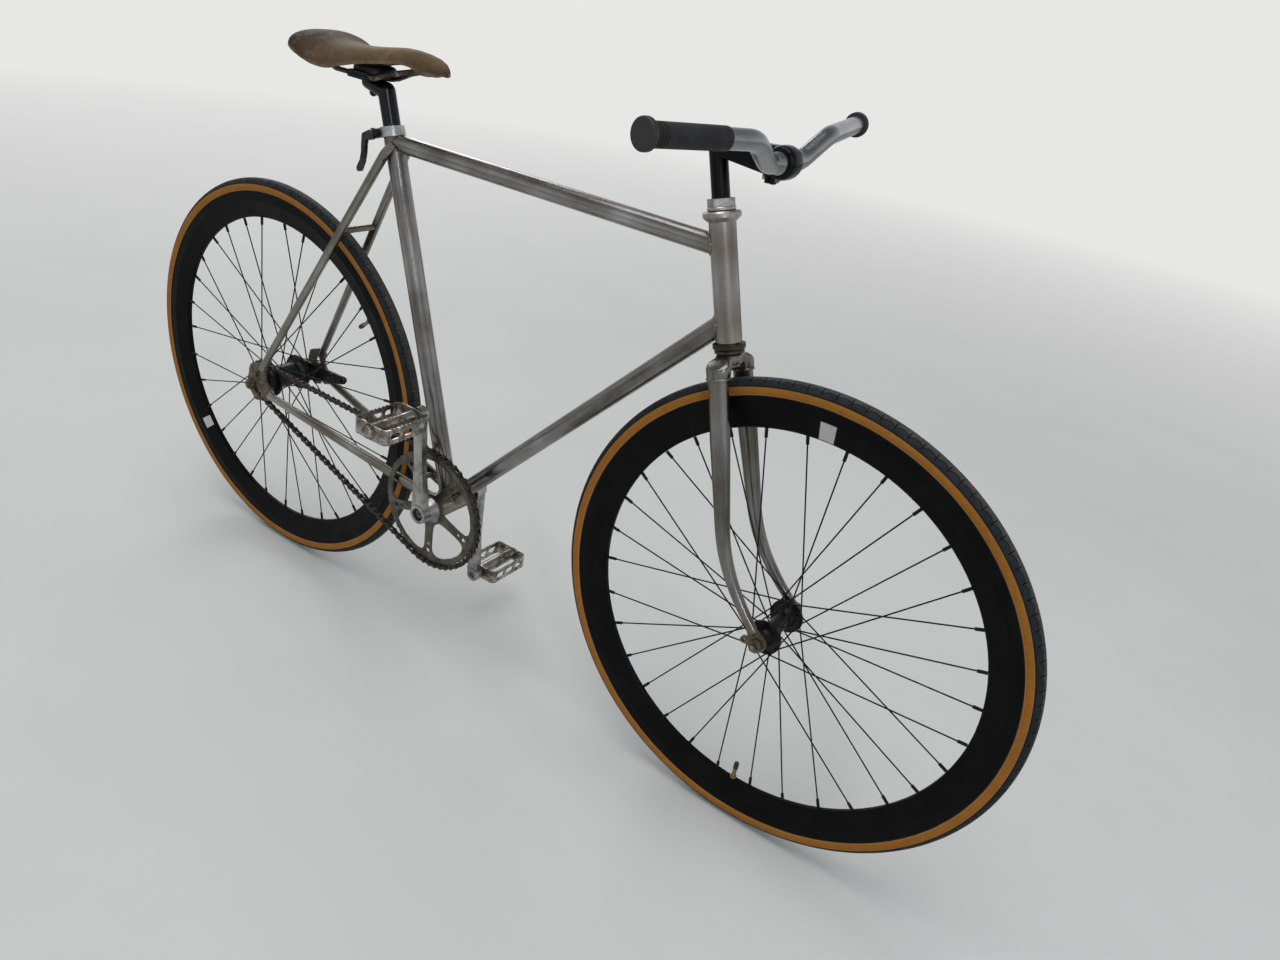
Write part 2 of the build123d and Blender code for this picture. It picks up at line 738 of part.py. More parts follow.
with BuildPart() as saddle_clamp:
    half_gap = 0.6  # each plate stands this far from the rails' middle
    plate = 4.4
    clamp_width = 2 * rail_spread + 12
    with BuildSketch(Plane.XY.offset(-rail_drop - half_gap)) as lower:
        with Locations((clamp_x, 0)):
            RectangleRounded(clamp_length, clamp_width, 5)
    extrude(lower.sketch, amount=-plate)
    with BuildSketch(Plane.XY.offset(-rail_drop + half_gap)) as upper:
        with Locations((clamp_x, 0)):
            RectangleRounded(clamp_length - 6, clamp_width, 5)
    extrude(upper.sketch, amount=plate)
    with BuildSketch(Plane.XY.offset(-rail_drop + 2 * plate)) as bolts:
        with Locations((clamp_x - clamp_length / 3, 0), (clamp_x + clamp_length / 3, 0)):
            Circle(3.0)
    extrude(bolts.sketch, amount=-4 * plate)
    for side in (-1, 1):
        groove = Vector(clamp_x, side * rail_spread, -rail_drop)
        reach = Vector(clamp_length, 0, 0)
        round_bar(groove - reach, groove + reach, rail_radius + fit_gap, mode=Mode.SUBTRACT)
    add(seatpost.part, mode=Mode.SUBTRACT)


saddle_sections = (  # share of the length, share of the width, top and foot
    (0.00, 0.50, -3.0, -20.0),
    (0.06, 0.85, 5.0, -25.0),
    (0.16, 1.00, 8.5, -31.0),
    (0.28, 0.83, 6.0, -34.0),
    (0.42, 0.52, 0.0, -29.0),
    (0.58, 0.33, 4.0, -22.0),
    (0.78, 0.25, 9.0, -17.0),
    (0.93, 0.20, 7.0, -16.0),
    (1.00, 0.10, -4.0, -14.0),
)


def saddle_body(inset, opening):
    """The saddle's arched body, drawn in by an inset and let down by an opening at its foot."""
    faces = []
    for along, wide, top, foot in saddle_sections:
        x = saddle_tail_x + inset + along * (saddle_nose_x - saddle_tail_x - 2 * inset)
        half = wide * saddle_width / 2 - inset
        crest = top - inset
        low = foot - opening
        shoulder = crest - 0.14 * (top - foot)
        flank = low + 0.5 * (crest - low)
        with BuildSketch(Plane.YZ.offset(x)) as section:
            with BuildLine():
                arch = Spline(
                    (-half, low),
                    (-0.97 * half, flank),
                    (-0.75 * half, shoulder),
                    (0, crest),
                    (0.75 * half, shoulder),
                    (0.97 * half, flank),
                    (half, low),
                )
                Line(arch @ 1, arch @ 0)
            make_face()
        faces.append(section.sketch)
    loft(faces)


with BuildPart() as saddle_inside:
    saddle_body(saddle_skin + fit_gap, saddle_skin)

with BuildPart() as saddle_hollow:
    saddle_body(saddle_skin, 2 * saddle_skin)

with BuildPart() as saddle:
    saddle_body(0.0, 0.0)
    add(saddle_hollow.part, mode=Mode.SUBTRACT)

rail_nose_x = saddle_nose_x - 24
rail_tail_x = saddle_tail_x + 20

with BuildPart() as saddle_rails:
    with BuildSketch(Plane.XY.offset(-3 * rail_radius - 1)) as plates:
        with Locations((rail_nose_x, 0)):
            RectangleRounded(14, 15, 4)
        with Locations((rail_tail_x, 0)):
            RectangleRounded(12, 2 * rail_spread + 40, 5)
    extrude(plates.sketch, amount=2 * rail_drop)
    add(saddle_inside.part, mode=Mode.INTERSECT)
    for side in (-1, 1):
        with BuildLine() as rail_path:
            FilletPolyline(
                (rail_nose_x, side * 4.5, -2.5 * rail_radius),
                (rail_nose_x - 58, side * 14, -rail_drop + 14),
                (rail_nose_x - 96, side * rail_spread, -rail_drop),
                (rail_tail_x + 42, side * rail_spread, -rail_drop),
                (rail_tail_x, side * (rail_spread + 10), -3 * rail_radius),
                radius=12.0,
            )
        with BuildSketch(plane_at(rail_path.line @ 0, rail_path.line % 0)) as wire:
            Circle(rail_radius)
        sweep(wire.sketch, path=rail_path.line)

with BuildPart() as seat_collar:
    collar_foot = on_seat_tube(collar_top - collar_height)
    collar_radius = seat_tube_radius + collar_wall
    round_bar(collar_foot, seat_high, collar_radius)
    with BuildSketch(plane_at(collar_foot, seat_up)) as ears:
        with Locations((0, collar_radius + 3)):
            Rectangle(18, 16)
    extrude(ears.sketch, amount=collar_height)
    with BuildSketch(plane_at(collar_foot, seat_up)) as slit:
        with Locations((0, collar_radius)):
            Rectangle(2.0, 36)
    extrude(slit.sketch, amount=collar_height, mode=Mode.SUBTRACT)
    round_bar(bb_centre, seat_high, seat_tube_radius + fit_gap, mode=Mode.SUBTRACT)
    round_bar(top_rear, top_front, top_tube_radius + fit_gap, mode=Mode.SUBTRACT)
    seat_back = plane_at(collar_foot, seat_up).y_dir
    skewer_at = collar_foot + seat_up * (collar_height / 2) + seat_back * (collar_radius + 6)
    skewer = Vector(0, 20, 0)
    round_bar(skewer_at - skewer, skewer_at + skewer, 2.5 + fit_gap, mode=Mode.SUBTRACT)

lever_bends = (  # forward of the skewer, above it, and the handle's half width
    (0, -2, 7.0),
    (-12, -6, 4.8),
    (-13.5, -18, 4.0),
    (-13.5, -29, 3.8),
    (-16, -42, 3.8),
    (-22, -54, 4.4),
)

with BuildPart() as seat_release_lever:
    round_bar(skewer_at - Vector(0, 17, 0), skewer_at + Vector(0, 14, 0), 2.5)
    round_bar(skewer_at + Vector(0, 9 + fit_gap, 0), skewer_at + Vector(0, 14, 0), 6.5)
    round_bar(skewer_at - Vector(0, 17, 0), skewer_at - Vector(0, 9 + fit_gap, 0), 7.5)
    with BuildSketch(side_plane(skewer_at, -20)) as handle:
        for start, end in zip(lever_bends, lever_bends[1:]):
            with BuildSketch():
                for forward, up, radius in (start, end):
                    with Locations((forward, up)):
                        Circle(radius)
                make_hull()
    extrude(handle.sketch, amount=lever_thickness / 2, both=True)

# ---- Wheels ----
tyre_centre_radius = wheel_radius - tyre_width / 2
bead_y = rim_width / 2 - rim_wall - fit_gap
rim_nose_radius = rim_outer_radius - rim_depth


def make_rim(centre):
    """A deep V rim with an open channel for the beads."""
    half = rim_width / 2
    inner = half - rim_wall
    nose = rim_nose_width / 2
    floor = rim_outer_radius - rim_well_depth
    lathe(
        across(centre),
        (-half, rim_outer_radius),
        (-half, rim_outer_radius - 14),
        (-nose, rim_nose_radius + 2),
        (-nose + 2, rim_nose_radius),
        (nose - 2, rim_nose_radius),
        (nose, rim_nose_radius + 2),
        (half, rim_outer_radius - 14),
        (half, rim_outer_radius),
        (inner, rim_outer_radius),
        (inner, rim_outer_radius - bead_depth - fit_gap),
        (inner - 3, floor),
        (-inner + 3, floor),
        (-inner, rim_outer_radius - bead_depth - fit_gap),
        (-inner, rim_outer_radius),
    )


def make_tyre(centre):
    """A hollow tyre: round tread and walls, with beads that sit inside the rim."""
    foot = rim_outer_radius - bead_depth
    shoulder = rim_outer_radius + 0.4
    outer = tyre_width / 2
    inner = outer - tyre_wall
    drop = tyre_centre_radius - shoulder
    outer_y = sqrt(outer**2 - drop**2)
    inner_y = sqrt(inner**2 - drop**2)
    with BuildSketch(across(centre)) as section:
        with BuildLine():
            ThreePointArc((-outer_y, shoulder), (0, wheel_radius), (outer_y, shoulder))
            Polyline(
                (outer_y, shoulder),
                (bead_y, shoulder),
                (bead_y, foot),
                (bead_y - bead_thickness, foot),
                (inner_y, shoulder),
            )
            ThreePointArc((inner_y, shoulder), (0, wheel_radius - tyre_wall), (-inner_y, shoulder))
            Polyline(
                (-inner_y, shoulder),
                (bead_thickness - bead_y, foot),
                (-bead_y, foot),
                (-bead_y, shoulder),
                (-outer_y, shoulder),
            )
        make_face()
    revolve(section.sketch, axis=Axis(centre, (0, 1, 0)))


def around(centre, radius, angle, y):
    """A point on a circle about a sideways axle; angle 0 is forward and 90 is up."""
    return centre + Vector(radius * cos(radians(angle)), y, radius * sin(radians(angle)))


def spoke_points(centre, flange_radius, flange_y, phase):
    """For each crossed spoke: its head, its elbow and its seat in the rim."""
    hole_radius = flange_radius - hole_inset
    per_side = spoke_count // 2
    step = 360 / per_side
    sweep_angle = spoke_crosses * 360 / per_side
    for side in (-1, 1):
        for number in range(per_side):
            lean = 1 if number % 2 else -1
            stand_off = flange_thickness / 2 + spoke_radius + (1.2 if lean > 0 else 0.2)
            angle = phase + number * step + side * step / 4
            start_y = side * (flange_y + lean * stand_off)
            far_y = side * (flange_y - lean * (flange_thickness / 2 + 0.6))
            start = around(centre, hole_radius, angle, start_y)
            head = around(centre, hole_radius, angle, far_y)
            seat_angle_on_rim = angle + lean * sweep_angle
            seat_y = side * rim_hole_offset
            seat = around(centre, rim_nose_radius - nipple_sink, seat_angle_on_rim, seat_y)
            yield head, start, seat


def make_spokes(centre, flange_radius, flange_y, phase):
    """All spokes of one wheel, each a separate solid, with the valve midway between two."""
    elbows = []
    wires = []
    nipples = []
    for head, start, seat in spoke_points(centre, flange_radius, flange_y, phase):
        run = seat - start
        out = run.normalized()
        hook = start - head
        with BuildSketch(plane_at(start - out * 0.6, out)) as wire:
            Circle(spoke_radius)
        wires.append(extrude(wire.sketch, amount=run.length - nipple_length / 2 + 0.6, mode=Mode.PRIVATE))
        with BuildSketch(plane_at(seat - out * nipple_length, out)) as nipple:
            Circle(nipple_radius)
        nipples.append(extrude(nipple.sketch, amount=nipple_length, mode=Mode.PRIVATE))
        with BuildSketch(Plane(origin=head, x_dir=(1, 0, 0), z_dir=hook.normalized())) as elbow:
            Circle(spoke_radius)
        elbows.append(extrude(elbow.sketch, amount=hook.length + 0.6, mode=Mode.PRIVATE))
    add([wire + nipple + elbow for wire, nipple, elbow in zip(wires, nipples, elbows)])


def drill_flanges(centre, flange_radius, flange_y, phase):
    """A hole for each spoke's elbow."""
    per_side = spoke_count // 2
    step = 360 / per_side
    for side in (-1, 1):
        with BuildSketch(side_plane(centre, side * flange_y)) as holes:
            with PolarLocations(flange_radius - hole_inset, per_side, start_angle=phase + side * step / 4):
                Circle(spoke_radius + 0.25)
        extrude(holes.sketch, amount=flange_thickness, both=True, mode=Mode.SUBTRACT)


def make_valve(centre, angle):
    """A valve stem standing in from the rim, with a narrower tip."""
    base = around(centre, rim_nose_radius - 0.3, angle, 0)
    waist = around(centre, rim_nose_radius - valve_length * 0.7, angle, 0)
    tip = around(centre, rim_nose_radius - valve_length, angle, 0)
    round_bar(base, waist, valve_radius)
    round_bar(waist, tip, valve_radius * 0.6)


with BuildPart() as front_rim:
    make_rim(front_axle_centre)
with BuildPart() as rear_rim:
    make_rim(rear_axle_centre)
with BuildPart() as front_tyre:
    make_tyre(front_axle_centre)
with BuildPart() as rear_tyre:
    make_tyre(rear_axle_centre)
with BuildPart() as front_valve:
    make_valve(front_axle_centre, front_valve_angle)
with BuildPart() as rear_valve:
    make_valve(rear_axle_centre, rear_valve_angle)

with BuildPart() as front_hub:
    bore = front_axle_radius + running_gap
    inner = front_flange_centre - flange_thickness / 2
    outer = front_flange_centre + flange_thickness / 2
    half_outline = [
        (front_hub_reach, bore),
        (front_hub_reach, 8.5),
        (outer + 4, front_barrel_radius),
        (outer, front_barrel_radius + 2),
        (outer, front_flange_radius),
        (inner, front_flange_radius),
        (inner, front_barrel_radius + 4),
        (inner - 8, front_barrel_radius),
    ]
    lathe(across(front_axle_centre), *half_outline, *[(-y, r) for y, r in reversed(half_outline)])
    drill_flanges(front_axle_centre, front_flange_radius, front_flange_centre, front_valve_angle)

with BuildPart() as rear_hub:
    bore = rear_axle_radius + running_gap
    inner = rear_flange_centre - flange_thickness / 2
    outer = rear_flange_centre + flange_thickness / 2
    lathe(
        across(rear_axle_centre),
        (rear_hub_left, bore),
        (rear_hub_left, 17.0),
        (rear_hub_left - 3, rear_barrel_radius),
        (outer, rear_barrel_radius + 2),
        (outer, rear_flange_radius),
        (inner, rear_flange_radius),
        (inner, rear_barrel_radius + 4),
        (inner - 6, rear_barrel_radius),
        (6 - inner, rear_barrel_radius),
        (-inner, rear_barrel_radius + 4),
        (-inner, rear_flange_radius),
        (-outer, rear_flange_radius),
        (-outer, rear_barrel_radius),
        (-rear_hub_right, rear_barrel_radius - 2),
        (-rear_hub_right, bore),
    )
    drill_flanges(rear_axle_centre, rear_flange_radius, rear_flange_centre, rear_valve_angle)

with BuildPart() as front_spokes:
    make_spokes(front_axle_centre, front_flange_radius, front_flange_centre, front_valve_angle)
with BuildPart() as rear_spokes:
    make_spokes(rear_axle_centre, rear_flange_radius, rear_flange_centre, rear_valve_angle)

# ---- Axles and nuts ----


def axle_nuts(centre, radius, face):
    """A hexagon nut outside each dropout."""
    for side in (-1, 1):
        with BuildSketch(side_plane(centre, side * (face + nut_width / 2 + fit_gap))) as nut:
            RegularPolygon(radius=nut_radius, side_count=6)
            Circle(radius + fit_gap, mode=Mode.SUBTRACT)
        extrude(nut.sketch, amount=nut_width / 2, both=True)


with BuildPart() as front_axle:
    lathe(
        across(front_axle_centre),
        (-front_axle_reach, 0),
        (-front_axle_reach, front_axle_radius),
        (-front_spacing / 2 + fit_gap, front_axle_radius),
        (-front_spacing / 2 + fit_gap, locknut_radius),
        (-front_hub_reach - 0.3, locknut_radius),
        (-front_hub_reach - 0.3, front_axle_radius),
        (front_hub_reach + 0.3, front_axle_radius),
        (front_hub_reach + 0.3, locknut_radius),
        (front_spacing / 2 - fit_gap, locknut_radius),
        (front_spacing / 2 - fit_gap, front_axle_radius),
        (front_axle_reach, front_axle_radius),
        (front_axle_reach, 0),
    )
with BuildPart() as front_axle_nuts:
    axle_nuts(front_axle_centre, front_axle_radius, front_spacing / 2 + dropout_thickness)

arm_face = rear_hub_left + brake_gap

with BuildPart() as rear_axle:
    lathe(
        across(rear_axle_centre),
        (-rear_axle_reach, 0),
        (-rear_axle_reach, rear_axle_radius),
        (-rear_spacing / 2 + fit_gap, rear_axle_radius),
        (-rear_spacing / 2 + fit_gap, locknut_radius),
        (-driver_reach - 0.3, locknut_radius),
        (-driver_reach - 0.3, rear_axle_radius),
        (arm_face + arm_thickness + fit_gap, rear_axle_radius),
        (arm_face + arm_thickness + fit_gap, locknut_radius),
        (rear_spacing / 2 - fit_gap, locknut_radius),
        (rear_spacing / 2 - fit_gap, rear_axle_radius),
        (rear_axle_reach, rear_axle_radius),
        (rear_axle_reach, 0),
    )
with BuildPart() as rear_axle_nuts:
    axle_nuts(rear_axle_centre, rear_axle_radius, rear_spacing / 2 + dropout_thickness)

with BuildPart() as coaster_arm:
    with BuildSketch(side_plane(rear_axle_centre, arm_face + arm_thickness)) as arm:
        Circle(arm_root_radius)
        with PolarLocations(arm_length, 1, start_angle=arm_angle):
            Circle(arm_end_radius)
        make_hull()
        Circle(rear_axle_radius + fit_gap, mode=Mode.SUBTRACT)
        with PolarLocations(arm_length, 1, start_angle=arm_angle):
            Circle(3.2, mode=Mode.SUBTRACT)
    extrude(arm.sketch, amount=arm_thickness)

# ---- Chain: outer and inner links on a closed loop round the two rings ----
sprocket_radius = link_pitch * sprocket_teeth / (2 * pi)
centres = bb_centre - rear_axle_centre
centre_angle = degrees(atan2(centres.Z, centres.X))
wrap_lean = degrees(asin((ring_radius - sprocket_radius) / centres.length))
straight_length = sqrt(centres.length**2 - (ring_radius - sprocket_radius) ** 2)
ring_wrap = 180 + 2 * wrap_lean
sprocket_wrap = 180 - 2 * wrap_lean
top_angle = centre_angle + 90 + wrap_lean
bottom_angle = centre_angle - 90 - wrap_lean
stretches = [
    straight_length,
    ring_radius * radians(ring_wrap),
    straight_length,
    sprocket_radius * radians(sprocket_wrap),
]
link_count = 2 * round(sum(stretches) / link_pitch / 2)
link_spacing = sum(stretches) / link_count
chain_left = -chainline


def chain_point(travel):
    """The chain's pitch line: top run forward, round the chainring, back, round the sprocket."""
    if travel < stretches[0]:
        start = around(rear_axle_centre, sprocket_radius, top_angle, chain_left)
        end = around(bb_centre, ring_radius, top_angle, chain_left)
        return start + (end - start) * (travel / stretches[0])
    travel -= stretches[0]
    if travel < stretches[1]:
        return around(bb_centre, ring_radius, top_angle - degrees(travel / ring_radius), chain_left)
    travel -= stretches[1]
    if travel < stretches[2]:
        start = around(bb_centre, ring_radius, bottom_angle, chain_left)
        end = around(rear_axle_centre, sprocket_radius, bottom_angle, chain_left)
        return start + (end - start) * (travel / stretches[2])
    travel -= stretches[2]
    turned = bottom_angle - degrees(travel / sprocket_radius)
    return around(rear_axle_centre, sprocket_radius, turned, chain_left)


def link_place(number):
    """The plane in the middle of a link, with x along it."""
    start = chain_point(number * link_spacing)
    end = chain_point((number + 1) % link_count * link_spacing)
    return Plane(origin=(start + end) / 2, x_dir=end - start, z_dir=(0, -1, 0))


def link_plates(inner_face, hole):
    """A pair of waisted side plates, lying on the XY plane."""
    for side in (-1, 1):
        with BuildSketch(Plane.XY.offset(side * (inner_face + plate_thickness / 2))) as plate:
            with Locations((-link_pitch / 2, 0), (link_pitch / 2, 0)):
                Circle(plate_radius)
            Rectangle(link_pitch, 1.3 * plate_radius)
            with Locations((-link_pitch / 2, 0), (link_pitch / 2, 0)):
                Circle(hole, mode=Mode.SUBTRACT)
        extrude(plate.sketch, amount=plate_thickness / 2, both=True)


inner_face = inner_width / 2
outer_face = inner_face + plate_thickness + plate_gap
pin_reach = outer_face + plate_thickness + 0.6

with BuildPart() as outer_link:
    link_plates(outer_face, pin_radius)
    with BuildSketch(Plane.XY) as pins:
        with Locations((-link_pitch / 2, 0), (link_pitch / 2, 0)):
            Circle(pin_radius)
    extrude(pins.sketch, amount=pin_reach, both=True)

with BuildPart() as inner_link:
    link_plates(inner_face, pin_radius + plate_gap)
    with BuildSketch(Plane.XY) as rollers:
        with Locations((-link_pitch / 2, 0), (link_pitch / 2, 0)):
            Circle(roller_radius)
            Circle(pin_radius + plate_gap, mode=Mode.SUBTRACT)
    extrude(rollers.sketch, amount=inner_face, both=True)

with BuildPart() as chain:
    with Locations(*[link_place(number) for number in range(0, link_count, 2)]):
        add(outer_link.part)
    with Locations(*[link_place(number) for number in range(1, link_count, 2)]):
        add(inner_link.part)

# ---- Chainring, sprocket, cranks and pedals ----


def toothed_disc(pitch_radius, teeth, phase):
    """A disc with short teeth whose tips stay clear of the chain's rollers."""
    tip = pitch_radius - roller_radius - tooth_clearance
    root = tip - tooth_height
    Circle(root)
    with PolarLocations(root - 0.5, teeth, start_angle=phase):
        Trapezoid(0.56 * link_pitch, tooth_height + 0.5, 68, rotation=-90, align=(Align.CENTER, Align.MIN))


chainring_arms = 5
arm_step = 360 / chainring_arms
tooth_phase = top_angle + 180 / chainring_teeth

with BuildSketch() as window:
    with Locations((window_root, 0)):
        Circle(window_root_radius)
    with Locations((window_side, -window_side_offset), (window_side, window_side_offset)):
        Circle(window_side_radius)
    with Locations((window_crown, 0)):
        Circle(window_crown_radius)
    make_hull()

with BuildPart() as chainring:
    with BuildSketch(side_plane(bb_centre, -chainline)) as ring:
        toothed_disc(ring_radius, chainring_teeth, tooth_phase)
        Circle(spindle_radius + 2, mode=Mode.SUBTRACT)
        with PolarLocations(0, chainring_arms, start_angle=crank_angle):
            add(window.sketch, mode=Mode.SUBTRACT)
        first_arm = crank_angle + arm_step / 2
        with PolarLocations(lightening_distance, chainring_arms, start_angle=first_arm):
            RegularPolygon(radius=6.5, side_count=3, rotation=180, mode=Mode.SUBTRACT)
        with PolarLocations(lightening_distance - 15, chainring_arms, start_angle=first_arm):
            SlotOverall(9.0, 4.0, mode=Mode.SUBTRACT)
    extrude(ring.sketch, amount=ring_thickness / 2, both=True)

with BuildPart() as rear_sprocket:
    with BuildSketch(side_plane(rear_axle_centre, -chainline)) as ring:
        toothed_disc(sprocket_radius, sprocket_teeth, top_angle + 180 / sprocket_teeth)
        Circle(rear_axle_radius + running_gap, mode=Mode.SUBTRACT)
    extrude(ring.sketch, amount=ring_thickness / 2, both=True)
    lathe(
        across(rear_axle_centre),
        (-rear_hub_right - 0.5, rear_axle_radius + running_gap),
        (-rear_hub_right - 0.5, driver_radius),
        (-driver_reach, driver_radius),
        (-driver_reach, rear_axle_radius + running_gap),
    )

with BuildPart() as crank_spindle:
    reach = Vector(0, spindle_reach, 0)
    round_bar(bb_centre - reach, bb_centre + reach, spindle_radius)


def pedal_centre(side):
    """The pedal axle's line: the right crank stands at the crank angle, the left one opposite."""
    return around(bb_centre, crank_length, crank_angle + (180 if side > 0 else 0), 0)


def make_crank(side, boss_end):
    """A forged arm, narrowest in the middle, with a boss, a bolt recess and a pedal eye."""
    eye = pedal_centre(side) - bb_centre
    middle = Vector(0, side * (crank_face - crank_thickness / 2), 0)
    arm_plane = Plane(origin=bb_centre + middle, x_dir=eye.normalized(), z_dir=(0, -1, 0))
    waist = (crank_waist, crank_waist_radius)
    neck = (crank_length - crank_neck, crank_neck_radius)
    ends = (((0, crank_root_radius), waist), (waist, neck), (neck, (crank_length, crank_neck_radius)))
    with BuildSketch(arm_plane) as arm:
        for pair in ends:
            with BuildSketch():
                for along, radius in pair:
                    with Locations((along, 0)):
                        Circle(radius)
                make_hull()
    extrude(arm.sketch, amount=crank_arm_thickness / 2, both=True)
    with BuildSketch(arm_plane) as pedal_eye:
        with Locations((crank_length, 0)):
            Circle(crank_eye_radius)
    extrude(pedal_eye.sketch, amount=crank_thickness / 2, both=True)
    lathe(
        across(bb_centre),
        (side * boss_end, 0),
        (side * boss_end, crank_flare_radius),
        (side * (boss_end + 2), crank_flare_radius),
        (side * (crank_face - crank_thickness), crank_boss_radius + 2),
        (side * crank_face, crank_boss_radius),
        (side * crank_face, 0),
    )
    outer = Vector(0, side * crank_face, 0)
    round_bar(bb_centre, bb_centre + outer, spindle_radius + fit_gap, mode=Mode.SUBTRACT)
    recess = Vector(0, side * spindle_reach, 0)
    round_bar(bb_centre + recess, bb_centre + outer * 1.1, crank_recess_radius, mode=Mode.SUBTRACT)
    hole = Vector(0, side * crank_face * 1.1, 0)
    thread = pedal_axle_radius + fit_gap
    round_bar(pedal_centre(side), pedal_centre(side) + hole, thread, mode=Mode.SUBTRACT)


with BuildPart() as crank_arm_right:
    make_crank(-1, chainline + ring_thickness / 2 + fit_gap)
with BuildPart() as crank_arm_left:
    make_crank(1, shell_width / 2 + cup_flange_width + 6)

cage_start = crank_face + pedal_gap
cage_end = cage_start + pedal_length

with BuildPart() as pedal_axles:
    for side in (-1, 1):
        lathe(
            across(pedal_centre(side)),
            (side * (crank_face - crank_thickness + 1), 0),
            (side * (crank_face - crank_thickness + 1), pedal_axle_radius),
            (side * (crank_face + fit_gap), pedal_axle_radius),
            (side * (crank_face + fit_gap), pedal_collar_radius),
            (side * (cage_start - 0.6), pedal_collar_radius),
            (side * (cage_start - 0.6), pedal_axle_radius),
            (side * (cage_end - 6), pedal_axle_radius),
            (side * (cage_end - 6), 0),
        )


def make_barrel(side):
    """The pedal's barrel: it turns on the axle and is closed by a dust cap."""
    bore = pedal_axle_radius + running_gap
    lathe(
        across(pedal_centre(side)),
        (side * cage_start, bore),
        (side * cage_start, pedal_barrel_radius),
        (side * (cage_end + 1), pedal_barrel_radius),
        (side * (cage_end + 3), pedal_barrel_radius - 2.5),
        (side * (cage_end + 3), 0),
        (side * (cage_end - 5.5), 0),
        (side * (cage_end - 5.5), bore),
    )


def make_cage(side):
    """A rat-trap cage: one bent band with serrated edges and slots front and rear."""
    centre = pedal_centre(side) + Vector(0, side * (cage_start + cage_end) / 2, 0)
    with BuildSketch(Plane.XY.offset(centre.Z)) as band:
        with Locations((centre.X, centre.Y)):
            RectangleRounded(pedal_width, pedal_length, pedal_corner)
            RectangleRounded(
                pedal_width - 2 * cage_thickness,
                pedal_length - 2 * cage_thickness,
                pedal_corner - cage_thickness,
                mode=Mode.SUBTRACT,
            )
    extrude(band.sketch, amount=pedal_height / 2, both=True)
    with BuildSketch(Plane(origin=centre, x_dir=(0, 1, 0), z_dir=(1, 0, 0))) as cuts:
        for edge in (-1, 1):
            with Locations((0, edge * pedal_height / 2)):
                with GridLocations(7.5, 1, 9, 1):
                    RegularPolygon(radius=serration, side_count=4, rotation=45)
        with GridLocations(24, 1, 3, 1):
            SlotOverall(19, 8.5)
    extrude(cuts.sketch, amount=pedal_width, both=True, mode=Mode.SUBTRACT)
    reach = Vector(0, pedal_length, 0)
    round_bar(centre - reach, centre + reach, pedal_barrel_radius + fit_gap, mode=Mode.SUBTRACT)


with BuildPart() as pedal_barrel_right:
    make_barrel(-1)
with BuildPart() as pedal_barrel_left:
    make_barrel(1)
with BuildPart() as pedal_cage_right:
    make_cage(-1)
with BuildPart() as pedal_cage_left:
    make_cage(1)

# ---- Labels and files ----
pieces = {
    "head_tube": head_tube,
    "top_tube": top_tube,
    "down_tube": down_tube,
    "seat_tube": seat_tube,
    "bottom_bracket_shell": bottom_bracket_shell,
    "bottom_bracket_cups": bottom_bracket_cups,
    "chainstays": chainstays,
    "seatstays": seatstays,
    "stay_bridges": stay_bridges,
    "rear_dropouts": rear_dropouts,
    "headset_cups": headset_cups,
    "seat_collar": seat_collar,
    "seat_release_lever": seat_release_lever,
    "seatpost": seatpost,
    "saddle_clamp": saddle_clamp,
    "saddle_rails": saddle_rails,
    "saddle": saddle,
    "rear_axle": rear_axle,
    "rear_axle_nuts": rear_axle_nuts,
    "coaster_arm": coaster_arm,
    "chain": chain,
    "fork_crown": fork_crown,
    "steerer": steerer,
    "fork_blades": fork_blades,
    "front_dropouts": front_dropouts,
    "headset_nuts": headset_nuts,
    "stem": stem,
    "handlebar": handlebar,
    "grip_right": grip_right,
    "bar_end_plugs": bar_end_plugs,
    "front_axle": front_axle,
    "front_axle_nuts": front_axle_nuts,
    "front_hub": front_hub,
    "front_spokes": front_spokes,
    "front_rim": front_rim,
    "front_tyre": front_tyre,
    "front_valve": front_valve,
    "rear_hub": rear_hub,
    "rear_spokes": rear_spokes,
    "rear_rim": rear_rim,
    "rear_tyre": rear_tyre,
    "rear_valve": rear_valve,
    "rear_sprocket": rear_sprocket,
    "crank_spindle": crank_spindle,
    "chainring": chainring,
    "crank_arm_right": crank_arm_right,
    "crank_arm_left": crank_arm_left,
    "pedal_axles": pedal_axles,
    "pedal_barrel_right": pedal_barrel_right,
    "pedal_cage_right": pedal_cage_right,
    "pedal_barrel_left": pedal_barrel_left,
    "pedal_cage_left": pedal_cage_left,
}
for name, piece in pieces.items():
    piece.part.label = name
    export_step(piece.part, f"parts/{name}.step")
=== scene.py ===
import json
from math import acos, asin, atan2, cos, degrees, hypot, pi, radians, sin, sqrt, tau

import bmesh
import bpy
import numpy as np
from mathutils import Matrix, Vector
from mathutils.bvhtree import BVHTree


